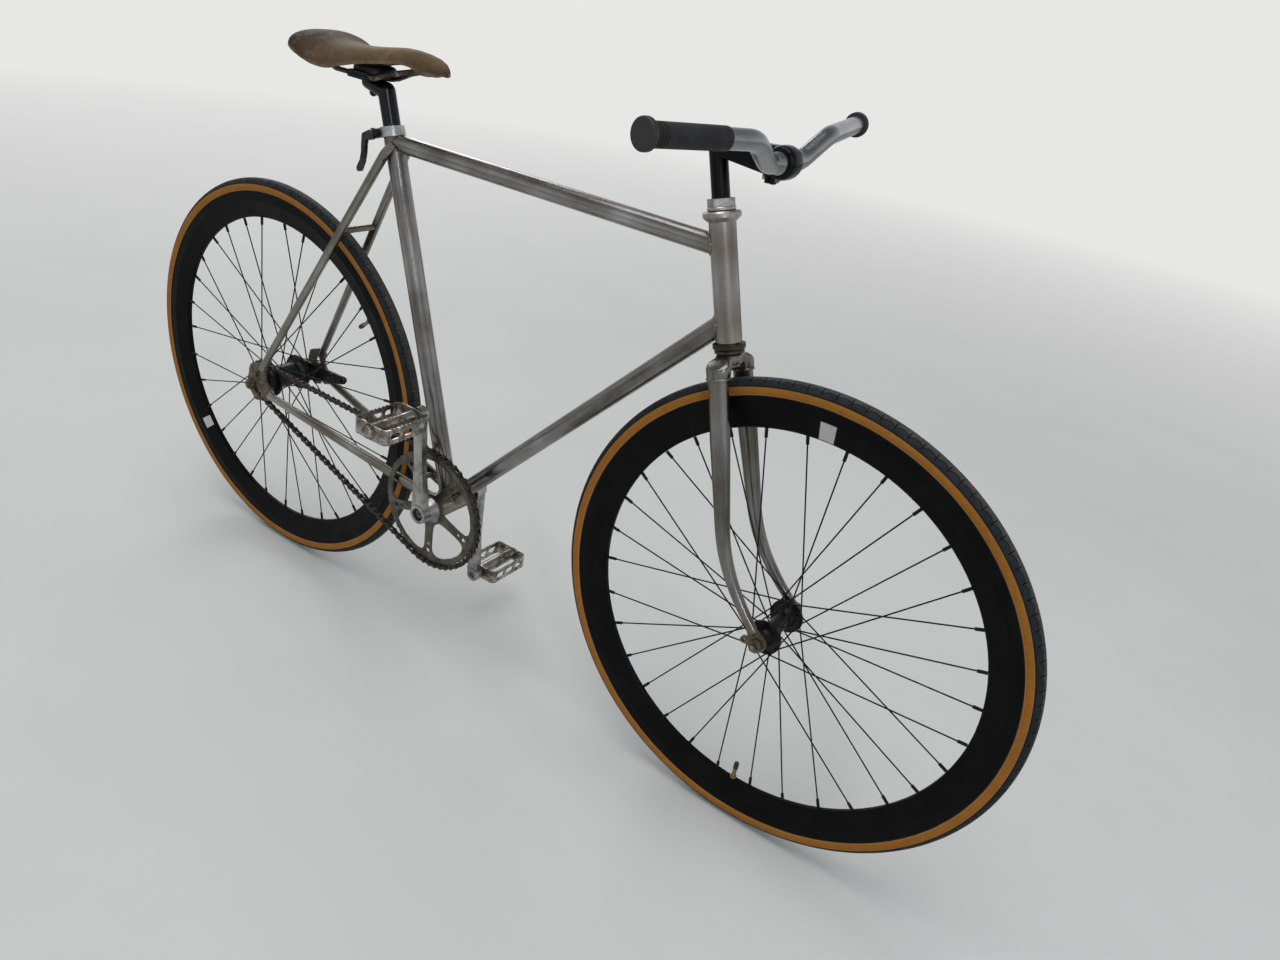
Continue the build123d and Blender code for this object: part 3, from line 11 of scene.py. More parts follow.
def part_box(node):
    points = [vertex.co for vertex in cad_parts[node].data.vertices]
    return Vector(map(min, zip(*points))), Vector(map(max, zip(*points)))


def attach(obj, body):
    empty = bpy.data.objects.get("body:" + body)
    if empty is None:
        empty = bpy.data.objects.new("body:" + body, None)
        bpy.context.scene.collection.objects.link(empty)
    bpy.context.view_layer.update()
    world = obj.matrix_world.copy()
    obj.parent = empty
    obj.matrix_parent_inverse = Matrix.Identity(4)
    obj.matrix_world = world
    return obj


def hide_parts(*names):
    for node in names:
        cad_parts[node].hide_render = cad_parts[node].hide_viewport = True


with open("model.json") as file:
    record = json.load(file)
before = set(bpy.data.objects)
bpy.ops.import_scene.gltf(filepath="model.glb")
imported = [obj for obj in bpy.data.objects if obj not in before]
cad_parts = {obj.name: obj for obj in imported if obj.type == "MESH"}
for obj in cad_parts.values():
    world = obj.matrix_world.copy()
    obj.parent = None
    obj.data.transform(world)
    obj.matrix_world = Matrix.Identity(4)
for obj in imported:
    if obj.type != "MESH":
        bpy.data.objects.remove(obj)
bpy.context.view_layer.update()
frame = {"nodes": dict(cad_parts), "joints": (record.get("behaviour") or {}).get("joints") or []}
nodes = frame["nodes"]
joints = {joint["name"]: joint for joint in frame["joints"]}
scene = bpy.context.scene

# ---- Places taken from the frame, in metres ----
MM = 0.001
ALONG = Vector((1, 0, 0))
ACROSS = Vector((0, 1, 0))
UP = Vector((0, 0, 1))
FRONT_AXLE = Vector(joints["front_wheel_spin"]["pos_m"])
REAR_AXLE = Vector(joints["rear_wheel_spin"]["pos_m"])
CRANK_AXLE = Vector(joints["crank_spin"]["pos_m"])
STEER_POINT = Vector(joints["steering_turn"]["pos_m"])
STEER_UP = Vector(joints["steering_turn"]["axis"])
STEER_UP = STEER_UP if STEER_UP.z > 0 else -STEER_UP
STEER_FORWARD = Vector((STEER_UP.z, 0, -STEER_UP.x))
SEAT_ANGLE = radians(73.3)  # between the seat tube and the ground
SEAT_UP = Vector((-cos(SEAT_ANGLE), 0, sin(SEAT_ANGLE)))
FLOOR_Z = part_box("front_tyre")[0].z
WHEEL_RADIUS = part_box("front_tyre")[1].z - FRONT_AXLE.z
RIM_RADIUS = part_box("front_rim")[1].z - FRONT_AXLE.z
RIM_DEPTH = 42 * MM
SIDES = ((-1, "right"), (1, "left"))
WHEELS = {"front": FRONT_AXLE, "rear": REAR_AXLE}

# ---- The tread, in millimetres ----
TREAD_PITCHES = 112
SLIT_INNER, SLIT_OUTER = 2.5, 11.2  # a slit's ends from the middle of the tread
SLIT_WIDTH, SLIT_EDGE, SLIT_DEPTH = 1.4, 0.15, 1.1
SLIT_SHARE = SLIT_WIDTH * MM * TREAD_PITCHES / (tau * WHEEL_RADIUS)
GROOVE_FAR, GROOVE_SWING = 9.5, 2.7  # the wavy groove's furthest place from the middle, and its wave

# ---- Materials: a small kit for building node trees ----


def feed(tree, socket, value):
    """Links a node's output to a socket, or sets the socket's own value."""
    if isinstance(value, bpy.types.NodeSocket):
        tree.links.new(value, socket)
    elif socket.type == "RGBA":
        socket.default_value = (*value[:3], 1)
    else:
        socket.default_value = value


def add_node(tree, kind, *inputs, **settings):
    """A shader node of a kind with its settings, and its first inputs in their order."""
    made = tree.nodes.new("ShaderNode" + kind)
    for key, value in settings.items():
        setattr(made, key, value)
    for socket, value in zip(made.inputs, inputs):
        feed(tree, socket, value)
    return made


class Shader:
    """A material's node tree. Values passed in are numbers, colours or node outputs."""

    def __init__(self, name):
        self.material = bpy.data.materials.new(name)
        self.material.use_nodes = True
        self.tree = self.material.node_tree
        self.bsdf = self.tree.nodes["Principled BSDF"]
        self.place = self.node("TexCoord").outputs["Object"]

    def node(self, kind, *inputs, **settings):
        return add_node(self.tree, kind, *inputs, **settings)

    def maths(self, operation, first, second=0, third=0):
        return self.node("Math", first, second, third, operation=operation).outputs[0]

    def add(self, first, second):
        return self.maths("ADD", first, second)

    def less(self, first, second):
        return self.maths("SUBTRACT", first, second)

    def times(self, first, second):
        return self.maths("MULTIPLY", first, second)

    def larger(self, first, second):
        return self.maths("MAXIMUM", first, second)

    def vector(self, operation, first, second=(0, 0, 0)):
        return self.node("VectorMath", first, second, operation=operation).outputs

    def ramp(self, value, low, high, start=0, end=1):
        """Turns low..high into start..end, held at both ends."""
        return self.node("MapRange", value, low, high, start, end).outputs[0]

    def blend(self, share, first, second):
        """A colour between two colours."""
        made = self.node("Mix", share, data_type="RGBA")
        feed(self.tree, made.inputs[6], first)
        feed(self.tree, made.inputs[7], second)
        return made.outputs[2]

    def layers(self, colour, *over):
        """A colour with others laid over it, from the lowest up: (share, colour) pairs."""
        for share, shade in over:
            colour = self.blend(share, colour, shade)
        return colour

    def noise(self, scale, detail=4, rough=0.55, where=None, twist=0):
        made = self.node("TexNoise", where or self.place)
        for key, value in (("Scale", scale), ("Detail", detail), ("Roughness", rough), ("Distortion", twist)):
            made.inputs[key].default_value = value
        return made.outputs[0]

    def cells(self, scale, feature="F1", where=None):
        made = self.node("TexVoronoi", where or self.place, feature=feature)
        made.inputs["Scale"].default_value = scale
        return made.outputs["Distance"]

    def stretched(self, axis, along, across):
        """The place in a frame whose x runs along an axis, scaled along it and across it."""
        guide = Vector((0, 1, 0)) if abs(axis.y) < 0.9 else Vector((1, 0, 0))
        side = axis.cross(guide).normalized()
        directions = (axis * along, side * across, axis.cross(side) * across)
        parts = [self.vector("DOT_PRODUCT", self.place, direction)[1] for direction in directions]
        return self.node("CombineXYZ", *parts).outputs[0]

    def distance(self, point):
        return self.vector("DISTANCE", self.place, point)[1]

    def crevice(self, reach, low=0.35, high=0.9):
        """1 deep in a corner, 0 in the open."""
        made = self.node("AmbientOcclusion", (1, 1, 1), reach, samples=6)
        return self.ramp(made.outputs["AO"], low, high, 1, 0)

    def bump(self, height, depth, strength, normal=None):
        made = self.node("Bump", strength, depth)
        feed(self.tree, made.inputs["Height"], height)
        if normal:
            feed(self.tree, made.inputs["Normal"], normal)
        return made.outputs[0]

    def patches(self, noise, low, high, most=1, where=None):
        """Patches where a noise, given as (scale, detail, roughness), is high."""
        return self.ramp(self.noise(*noise, where), low, high, 0, most)

    def finish(self, colour, roughness, normal, metallic=0, specular=0.5):
        """Sets the surface's inputs and gives the material."""
        sockets = {"Base Color": colour, "Roughness": roughness, "Normal": normal, "Metallic": metallic,
                   "Specular IOR Level": specular}
        for key, value in sockets.items():
            feed(self.tree, self.bsdf.inputs[key], value)
        return self.material


def paint(material, *names):
    """Gives CAD nodes one material."""
    for name in names:
        mesh = nodes[name].data
        mesh.materials.clear()
        mesh.materials.append(material)


# ---- Metals ----
RUST_DARK = (0.05, 0.024, 0.012)
RUST_LIGHT = (0.15, 0.07, 0.032)
HEAT_BROWN = (0.115, 0.08, 0.052)
# Painted shade: the dark colour laid into the corners of plated and polished metal.
CORNER_SHADE = (0.03, 0.025, 0.02)
STAIN_DARK, STAIN_LIGHT = (0.045, 0.032, 0.022), (0.092, 0.074, 0.058)
STAIN_REACH = 0.03


def bare_steel(name, axis, bright, dull, brown_share=0.5, hot_spots=()):
    """Filed and wire-brushed raw steel: long scratches, grey and brown streaks, heat-browned joints."""
    s = Shader(name)
    blotches = s.noise(9, 3, 0.6)
    streaks = s.noise(1, 5, 0.6, s.stretched(axis, 7, 90))
    hair = s.noise(1, 3, 0.7, s.stretched(axis, 60, 2600))
    tone = s.ramp(s.add(s.times(blotches, 0.6), s.times(streaks, 0.4)), 0.36, 0.64)
    brown = s.patches((17, 5, 0.62), 0.5, 0.72, brown_share, s.stretched(axis, 0.35, 1))
    for spot in hot_spots:
        near = s.ramp(s.distance(spot), 0.016, 0.055, 0.8, 0)
        brown = s.larger(brown, s.times(near, s.ramp(blotches, 0.3, 0.6)))
    specks = s.patches((420, 2, 0.5), 0.66, 0.74, 0.55)
    colour = s.layers(s.blend(tone, dull, bright), (brown, HEAT_BROWN), (specks, RUST_DARK))
    roughness = s.ramp(s.add(streaks, brown), 0.25, 1.1, 0.17, 0.34)
    normal = s.bump(s.noise(55, 2, 0.5), 0.0012, 0.25, s.bump(hair, 0.0001, 0.5))
    return s.finish(colour, roughness, normal, 0.96)


def worn_metal(name, bright, dull, rust_share, roughness=(0.2, 0.5), stain_place=None):
    """Plated or polished metal: dull patches, rust spots, painted shade darkening its corners and a stain
    round a place.
    """
    s = Shader(name)
    patches = s.noise(60, 5, 0.6)
    colour = s.blend(s.ramp(patches, 0.38, 0.62), bright, dull)
    if stain_place is not None:
        near = s.ramp(s.distance(stain_place), STAIN_REACH, STAIN_REACH * 1.25, 1, 0)
        colour = s.blend(near, colour, s.blend(s.ramp(patches, 0.35, 0.65), STAIN_DARK, STAIN_LIGHT))
    rust_noise = s.noise(110, 6, 0.68, twist=0.6)
    rust = s.ramp(rust_noise, 0.66 - 0.3 * rust_share, 0.74 - 0.3 * rust_share)
    # Corners found by ambient occlusion are painted darker and made less metallic: painted shade.
    corner_shade = s.crevice(0.004)
    rust_colour = s.blend(s.noise(700, 2), RUST_DARK, RUST_LIGHT)
    colour = s.layers(colour, (rust, rust_colour), (s.times(corner_shade, 0.85), CORNER_SHADE))
    rough = s.larger(s.ramp(patches, 0.3, 0.7, *roughness), s.times(rust, 0.8))
    metallic = s.ramp(s.larger(rust, corner_shade), 0, 1, 0.97, 0.3)
    normal = s.bump(s.add(s.noise(900, 2), rust), 0.00022, 0.45)
    return s.finish(colour, rough, normal, metallic)


def rusty_iron(name, light=(0.205, 0.17, 0.13), dark=(0.085, 0.064, 0.044)):
    """Nuts and dropout ends: brown-grey iron with rust in patches and a few bright rubs."""
    s = Shader(name)
    patches = s.noise(120, 6, 0.7, twist=0.4)
    rust = s.patches((170, 5, 0.7), 0.52, 0.68, 0.55)
    rubbed = s.patches((90, 3, 0.6), 0.58, 0.68, 0.7)
    # The last layer paints the corners darker: painted shade.
    colour = s.layers(s.blend(s.ramp(patches, 0.35, 0.65), dark, light), (rust, RUST_DARK),
                      (rubbed, (0.33, 0.31, 0.28)), (s.times(s.crevice(0.003), 0.8), (0.022, 0.016, 0.012)))
    normal = s.bump(s.add(s.noise(1500, 2, 0.6), patches), 0.0003, 0.5)
    return s.finish(colour, s.ramp(rubbed, 0, 0.7, 0.55, 0.32), normal, s.ramp(rust, 0, 0.55, 0.85, 0.4))


def gloss_black(name, axis, roughness=0.16, specular=0.28):
    """Black lacquer on a tube, with fine scratches along it and a thin film of dust."""
    s = Shader(name)
    scratches = s.patches((1, 4, 0.7), 0.62, 0.74, 0.4, s.stretched(axis, 25, 1400))
    dust = s.patches((45, 6, 0.65), 0.5, 0.8, 0.3)
    colour = s.blend(scratches, (0.0028, 0.0029, 0.0034), (0.045, 0.045, 0.048))
    colour = s.blend(dust, colour, (0.014, 0.0135, 0.013))
    normal = s.bump(s.noise(260, 3), 0.0002, 0.15)
    return s.finish(colour, s.add(s.times(dust, 0.7), roughness), normal, specular=specular)


def worn_black(name, wear=(0.3, 0.29, 0.28), amount=0.5, roughness=0.42, specular=0.22):
    """Black paint or anodising worn to metal in spots, dusty in the hollows."""
    s = Shader(name)
    patches = s.noise(70, 5, 0.65)
    worn = s.patches((210, 5, 0.7), 0.7 - 0.1 * amount, 0.76 - 0.1 * amount, 0.9)
    colour = s.blend(s.ramp(patches, 0.35, 0.75), (0.004, 0.004, 0.0045), (0.012, 0.0115, 0.011))
    colour = s.layers(colour, (worn, wear), (s.times(s.crevice(0.005), 0.6), (0.02, 0.016, 0.013)))
    rough = s.ramp(patches, 0.3, 0.7, roughness - 0.1, roughness + 0.12)
    normal = s.bump(s.noise(600, 2), 0.00015, 0.3)
    return s.finish(colour, rough, normal, s.ramp(worn, 0, 0.9, 0, 0.8), specular)


def about_axle(s, centre):
    """The place from an axle's middle, and its distance from the axle."""
    offset = s.vector("SUBTRACT", s.place, centre)[0]
    flat = s.vector("MULTIPLY", offset, (1, 0, 1))[0]
    return offset, s.vector("LENGTH", flat)[1]


def rim_black(name, centre):
    """Satin black rim with patches of dust, small nicks and a fine turned line near its edge."""
    s = Shader(name)
    radius = about_axle(s, centre)[1]
    dust = s.patches((22, 6, 0.65), 0.45, 0.8, 0.6)
    line = s.maths("COMPARE", radius, RIM_RADIUS - 0.0125, 0.0005)
    nicks = s.patches((900, 2, 0.5), 0.74, 0.77, 0.4)
    colour = s.layers((0.0024, 0.0024, 0.0028), (dust, (0.009, 0.0086, 0.0082)),
                      (line, (0.0015, 0.0015, 0.0015)), (nicks, (0.12, 0.12, 0.12)))
    rough = s.ramp(s.noise(35), 0.3, 0.7, 0.36, 0.52)
    return s.finish(colour, rough, s.bump(s.noise(1300, 2), 0.0001, 0.2), specular=0.08)


def tyre_rubber(name, centre):
    """Tan cotton walls between a black bead strip and a dusty black tread with slits and a wavy groove."""
    s = Shader(name)
    offset, radius = about_axle(s, centre)
    x, y, z = s.node("SeparateXYZ", offset).outputs
    height = s.less(radius, RIM_RADIUS)  # above the rim's edge
    wavering = s.add(height, s.times(s.less(s.noise(30, 2), 0.5), 0.001))
    # The groove swings across the slits, half a pitch off on the left.
    turn = s.times(s.maths("ARCTAN2", z, x), TREAD_PITCHES / tau)
    left = s.maths("GREATER_THAN", y, 0)
    share = s.maths("FRACT", s.add(s.add(turn, float(TREAD_PITCHES)), s.times(left, 0.5)))
    away = s.maths("ABSOLUTE", y)
    groove_at = s.less(GROOVE_FAR * MM, s.times(s.maths("SINE", s.times(share, pi)), GROOVE_SWING * MM))
    groove = s.ramp(s.maths("ABSOLUTE", s.less(away, groove_at)), 0.0004, 0.0008, 1, 0)
    slit = s.times(s.maths("LESS_THAN", share, SLIT_SHARE), s.maths("LESS_THAN", away, SLIT_OUTER * MM))
    slit = s.times(slit, s.ramp(away, SLIT_INNER * MM, (SLIT_INNER + 0.3) * MM))
    groove = s.larger(groove, slit)
    # The tread: grey in the middle, then a flank that turns from black to a painted bluish sheen away from
    # the wall.
    black = (0.004, 0.004, 0.005)
    grey = s.blend(s.patches((75, 6, 0.7), 0.35, 0.75), (0.04, 0.0385, 0.038), (0.074, 0.071, 0.068))
    painted_blue_sheen = s.blend(s.patches((60, 5, 0.7), 0.35, 0.75), (0.014, 0.0165, 0.02), (0.027, 0.03, 0.034))
    flank = s.blend(s.ramp(wavering, 0.0125, 0.0148), (0.007, 0.008, 0.01), painted_blue_sheen)
    outside = s.ramp(s.less(away, groove_at), -0.004, 0.002)
    # The last layer paints the tread's corners black: painted shade.
    tread = s.layers(grey, (outside, flank), (s.times(groove, 0.9), black),
                     (s.times(s.crevice(0.0012, 0.3, 0.95), 0.85), black))
    # The wall: tan, paler beside the rim's strip and beside the tread.
    strip = s.blend(s.noise(80), (0.008, 0.008, 0.009), (0.016, 0.016, 0.018))
    rim_side = s.ramp(wavering, 0.0014, 0.0036, 0.65, 0)
    tread_side = s.ramp(wavering, 0.0106, 0.012, 0, 0.65)
    tan = s.layers(s.blend(s.noise(26, 4, 0.6), (0.27, 0.102, 0.013), (0.39, 0.16, 0.026)),
                   (s.patches((140, 5, 0.7), 0.45, 0.8, 0.5), (0.15, 0.058, 0.01)),
                   (s.larger(rim_side, tread_side), (0.36, 0.2, 0.085)))
    on_tread = s.maths("GREATER_THAN", height, 0.0121)
    colour = s.layers(strip, (s.ramp(wavering, 0.0011, 0.0016), tan), (on_tread, tread))
    cord = s.noise(1, 1, 0.5, s.stretched(ACROSS, 300, 2400))
    normal = s.bump(s.times(s.times(groove, -1), on_tread), 0.0006, 0.6, s.bump(cord, 0.0001, 0.35))
    return s.finish(colour, s.ramp(s.noise(90), 0.3, 0.7, 0.55, 0.78), normal, specular=0.12)


def chain_steel(name):
    """Oily dark steel with brighter patches and some rust."""
    s = Shader(name)
    patches = s.noise(260, 5, 0.7)
    rust = s.patches((90, 4, 0.65), 0.5, 0.68, 0.5)
    # The last layer paints the corners between the links darker: painted shade.
    colour = s.layers((0.013, 0.011, 0.009), (s.ramp(patches, 0.35, 0.65), (0.082, 0.072, 0.06)),
                      (rust, (0.046, 0.027, 0.016)), (s.times(s.crevice(0.003), 0.9), (0.008, 0.006, 0.005)))
    rough, metallic = s.ramp(patches, 0.3, 0.7, 0.5, 0.34), s.ramp(patches, 0.3, 0.7, 0.55, 0.9)
    return s.finish(colour, rough, s.bump(patches, 0.0002, 0.4), metallic)


def grip_rubber(name):
    """Matt black rubber with a fine grain and brown dust in its grooves."""
    s = Shader(name)
    colour = s.layers((0.01, 0.01, 0.011), (s.patches((50, 5, 0.65), 0.4, 0.75), (0.027, 0.026, 0.025)),
                      (s.times(s.crevice(0.003), 0.8), (0.06, 0.032, 0.018)))
    return s.finish(colour, 0.58, s.bump(s.cells(1500), 0.0002, 0.3), specular=0.3)


def saddle_leather(name):
    """Mottled brown hide: dark at the tail and nose, scuffed and finely cracked, with a worn hem."""
    s = Shader(name)
    x, _, z = s.node("SeparateXYZ", s.place).outputs
    mottle = s.noise(24, 6, 0.62, twist=0.4)
    tail = s.ramp(x, -0.08, 0.015, 0.92, 0)
    nose = s.times(s.ramp(x, 0.105, 0.145, 0, 0.75), s.ramp(z, -0.012, 0.004, 1, 0.2))
    scuffs = s.patches((75, 8, 0.72), 0.55, 0.72, 0.55)
    dark = s.patches((13, 4, 0.6), 0.5, 0.72, 0.55)
    hem = s.node("Attribute", attribute_name="hem").outputs["Fac"]
    worn_hem = s.times(hem, s.ramp(s.noise(95, 5, 0.7), 0.4, 0.62, 0.15, 0.85))
    colour = s.layers(
        s.blend(s.ramp(mottle, 0.32, 0.68), (0.09, 0.056, 0.03), (0.205, 0.137, 0.074)),
        (tail, (0.022, 0.013, 0.009)), (nose, (0.038, 0.024, 0.016)), (scuffs, (0.215, 0.155, 0.105)),
        (dark, (0.034, 0.02, 0.013)), (worn_hem, (0.27, 0.205, 0.145)))
    grain = s.ramp(s.cells(900, "DISTANCE_TO_EDGE"), 0, 0.25)
    elsewhere = s.vector("ADD", s.place, (0.3, 0.1, 0.2))[0]
    cracks = s.ramp(s.cells(230, "DISTANCE_TO_EDGE", elsewhere), 0, 0.08)
    normal = s.bump(cracks, 0.0002, 0.35, s.bump(grain, 0.0002, 0.4))
    return s.finish(colour, s.ramp(mottle, 0.3, 0.7, 0.46, 0.64), normal, specular=0.1)


def plain_dull(name, low, high, roughness, scale=60, metallic=0):
    """A simple mottled surface between two near colours."""
    s = Shader(name)
    normal = s.bump(s.noise(scale * 12, 2), 0.0001, 0.3)
    return s.finish(s.blend(s.noise(scale, 5, 0.65), low, high), roughness, normal, metallic)


# ---- Places on the frame's tubes ----


def on_steering(z):
    """The place on the steering axis at a height."""
    return STEER_POINT + STEER_UP * ((z - STEER_POINT.z) / STEER_UP.z)


def on_seat_tube(z):
    """The place on the seat tube's middle line at a height."""
    return CRANK_AXLE + SEAT_UP * ((z - CRANK_AXLE.z) / SEAT_UP.z)


HEAD_RADIUS, DOWN_RADIUS, SEAT_RADIUS = (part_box(f"{name}_tube")[1].y for name in ("head", "down", "seat"))
DOWN_TUBE_RISE, LOWER_CUP_DROP = 0.026, 0.004  # from the head tube's foot
top_low, top_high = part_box("top_tube")
TOP_RADIUS = 0.5 * (top_high.z - top_low.z)
top_z = 0.5 * (top_high.z + top_low.z)
SHELL_RADIUS = 0.5 * (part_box("bottom_bracket_shell")[1].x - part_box("bottom_bracket_shell")[0].x)
head_foot = min((v.co - STEER_POINT).dot(STEER_UP) for v in nodes["head_tube"].data.vertices)
top_front, top_rear = on_steering(top_z), on_seat_tube(top_z)
down_front = STEER_POINT + STEER_UP * (head_foot + DOWN_TUBE_RISE)
down_run = (down_front - CRANK_AXLE).normalized()
lower_cup = STEER_POINT + STEER_UP * (head_foot - LOWER_CUP_DROP)


def long_axis(node):
    """The direction in which a CAD node is longest."""
    points = np.array([v.co for v in nodes[node].data.vertices])
    values, vectors = np.linalg.eigh(np.cov((points - points.mean(0)).T))
    return Vector(vectors[:, int(np.argmax(values))]).normalized()


# Bright and dull steel, the share of brown, and the places where heat has browned it.
BARE_TUBES = {
    "head_tube": ((0.5, 0.49, 0.475), (0.2, 0.185, 0.165), 0.3, (top_front, down_front)),
    "top_tube": ((0.42, 0.42, 0.415), (0.15, 0.133, 0.112), 0.4, (top_front, top_rear)),
    "down_tube": ((0.34, 0.335, 0.325), (0.082, 0.074, 0.064), 0.5, (down_front, CRANK_AXLE)),
    "seat_tube": ((0.37, 0.365, 0.355), (0.11, 0.099, 0.086), 0.5, (top_rear, CRANK_AXLE)),
    "bottom_bracket_shell": ((0.33, 0.31, 0.28), (0.14, 0.115, 0.09), 0.7),
    "chainstays": ((0.34, 0.325, 0.3), (0.15, 0.13, 0.105), 0.6),
    "seatstays": ((0.36, 0.35, 0.33), (0.15, 0.13, 0.105), 0.6),
    "stay_bridges": ((0.28, 0.26, 0.23), (0.13, 0.105, 0.08), 0.7),
    "handlebar": ((0.36, 0.365, 0.375), (0.24, 0.24, 0.245), 0.15),
    "steerer": ((0.25, 0.23, 0.2), (0.1, 0.08, 0.06), 0.7),
}
for node, looks in BARE_TUBES.items():
    paint(bare_steel(f"bare_steel.{node}", long_axis(node), *looks), node)

paint(rusty_iron("rusty_iron"), "rear_axle_nuts", "front_axle_nuts", "rear_axle", "front_axle",
      "front_dropouts", "rear_dropouts")
paint(rusty_iron("rail_iron", (0.095, 0.078, 0.062), (0.034, 0.026, 0.019)), "saddle_rails")
paint(worn_metal("headset_plate", (0.47, 0.46, 0.44), (0.27, 0.255, 0.235), 0.15, stain_place=lower_cup),
      "headset_cups", "headset_nuts")
paint(worn_metal("collar_silver", (0.5, 0.495, 0.48), (0.3, 0.29, 0.27), 0.12), "seat_collar")
paint(worn_metal("cup_steel", (0.3, 0.29, 0.27), (0.16, 0.145, 0.125), 0.45),
      "bottom_bracket_cups", "crank_spindle")
paint(worn_metal("lever_steel", (0.105, 0.105, 0.108), (0.045, 0.043, 0.041), 0.15, (0.14, 0.34)),
      "seat_release_lever")
paint(worn_metal("crank_alloy", (0.42, 0.42, 0.41), (0.21, 0.205, 0.195), 0, (0.2, 0.36)),
      "crank_arm_right", "crank_arm_left")
pedal_chrome = worn_metal("pedal_chrome", (0.46, 0.44, 0.4), (0.13, 0.11, 0.088), 0.42, (0.14, 0.42))
paint(pedal_chrome, "pedal_cage_right", "pedal_cage_left", "pedal_barrel_right", "pedal_barrel_left",
      "pedal_axles")
paint(worn_black("clamp_black", amount=0.9), "saddle_clamp")
paint(worn_black("arm_black", (0.22, 0.18, 0.14), amount=1.2), "coaster_arm")
paint(worn_black("hub_black", (0.08, 0.08, 0.08), 0.2, 0.34, 0.25), "front_hub", "rear_hub")
paint(worn_black("spoke_black", (0.1, 0.1, 0.1), 0.2, 0.4, 0.15), "front_spokes", "rear_spokes")
for word, axle in WHEELS.items():
    paint(rim_black(f"{word}_rim_black", axle), f"{word}_rim")
brass = plain_dull("valve_brass", (0.2, 0.145, 0.065), (0.42, 0.33, 0.17), 0.4, 200, 0.9)
paint(brass, "front_valve", "rear_valve")
paint(chain_steel("oily_chain"), "chain", "rear_sprocket")
paint(grip_rubber("grip_rubber"), "grip_right")
plug_black = plain_dull("plug_black", (0.008, 0.008, 0.008), (0.022, 0.021, 0.02), 0.45)
paint(plug_black, "bar_end_plugs")

# ---- Mesh tools: a shell is a list of points and a list of faces ----


def turns(steps):
    """Even steps round a full turn, in radians."""
    return [tau * step / steps for step in range(steps)]


def ring(centre, wide, tall, steps):
    """Points round an oval: wide and tall are its two half sizes."""
    return [centre + wide * cos(turn) + tall * sin(turn) for turn in turns(steps)]


def outward(turn):
    """The direction from a sideways axle at an angle from forward."""
    return Vector((cos(turn), 0, sin(turn)))


def signed_power(value, power):
    """A number's power, with the number's own sign."""
    return abs(value) ** power * (1 if value > 0 else -1)


def share_of(value, low, high):
    """How far a value is from low to high, held from 0 to 1."""
    return min(1, max(0, (value - low) / (high - low)))


def between(knots, x):
    """The value at x on the straight lines through (x, value) knots."""
    return float(np.interp(x, *zip(*knots)))


def millimetres(outline):
    """An outline in millimetres, turned into metres."""
    return [(along * MM, radius * MM) for along, radius in outline]


def grid_faces(rows, columns, wrap_rows=False, wrap_columns=False):
    """Faces of a net of points, given row by row, joined into a ring either way if asked."""
    faces = []
    for row in range(rows if wrap_rows else rows - 1):
        here, above = row * columns, (row + 1) % rows * columns
        for column in range(columns if wrap_columns else columns - 1):
            beside = (column + 1) % columns
            faces.append((here + column, here + beside, above + beside, above + column))
    return faces


def net(rows, closed=True, wrap=False):
    """A shell through rows of points. Closed rows are rings, and wrap joins the last row to the first."""
    return [point for row in rows for point in row], grid_faces(len(rows), len(rows[0]), wrap, closed)


def joined(*shells):
    """Several shells as one."""
    points, faces = [], []
    for more_points, more_faces in shells:
        faces += [tuple(len(points) + index for index in face) for face in more_faces]
        points += more_points
    return points, faces


def lathe(origin, axis, outline, sides, side=None, wrap=False):
    """A turned shell: (along, radius) points from a place along an axis."""
    side = axis.orthogonal().normalized() if side is None else side
    third = axis.cross(side)
    rings = [ring(origin + axis * along, side * radius, third * radius, sides) for along, radius in outline]
    return net(rings, wrap=wrap)


def capsule(start, end, first_radius, last_radius, steps=12):
    """A round bar with domed ends."""
    run = end - start
    quarter = [pi / 2 * step / steps for step in range(steps + 1)]
    outline = [(-first_radius * cos(turn), first_radius * sin(turn)) for turn in quarter]
    outline += [(run.length + last_radius * sin(turn), last_radius * cos(turn)) for turn in quarter]
    return lathe(start, run.normalized(), outline, 48, ACROSS)


def new_object(name, data):
    made = bpy.data.objects.new(name, data)
    scene.collection.objects.link(made)
    return made


def new_piece(name, mesh, material, body):
    """A mesh as a smooth piece that rides on a body."""
    mesh.polygons.foreach_set("use_smooth", [True] * len(mesh.polygons))
    mesh.materials.append(material)
    piece = new_object(name, mesh)
    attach(piece, body)
    return piece


def add_piece(name, shell, material, body, sharp=40):
    """A shell as a piece, with its doubled points merged and its edges sharp past an angle in degrees."""
    mesh = bpy.data.meshes.new(name)
    mesh.from_pydata(shell[0], [], shell[1])
    work = bmesh.new()
    work.from_mesh(mesh)
    bmesh.ops.remove_doubles(work, verts=work.verts, dist=1e-6)
    bmesh.ops.dissolve_degenerate(work, edges=work.edges, dist=1e-7)
    bmesh.ops.recalc_face_normals(work, faces=work.faces)
    work.to_mesh(mesh)
    work.free()
    piece = new_piece(name, mesh, material, body)
    mesh.set_sharp_from_angle(angle=radians(sharp))
    return piece


def turned(name, origin, axis, outline, material, body, sides=32):
    """A turned piece, or a nut if it has six sides, with its outline in millimetres."""
    add_piece(name, lathe(origin, axis, millimetres(outline), sides), material, body, 30)


def ring_bead(name, loop, radius, material, body, unevenness):
    """A round bead along a closed loop, rippled and a little uneven if asked."""
    count = len(loop)
    middle = sum(loop, Vector()) / count
    rings = []
    for step, place in enumerate(loop):
        along = (loop[(step + 1) % count] - loop[step - 1]).normalized()
        out = place - middle
        out = (out - along * out.dot(along)).normalized()
        size = radius * (1 + unevenness * (0.1 * sin(step * 2.1) + 0.07 * sin(step * 0.7 + 1)))
        rings.append(ring(place, out * size, along.cross(out) * size, 10))
    add_piece(name, net(rings, wrap=True), material, body, 80)


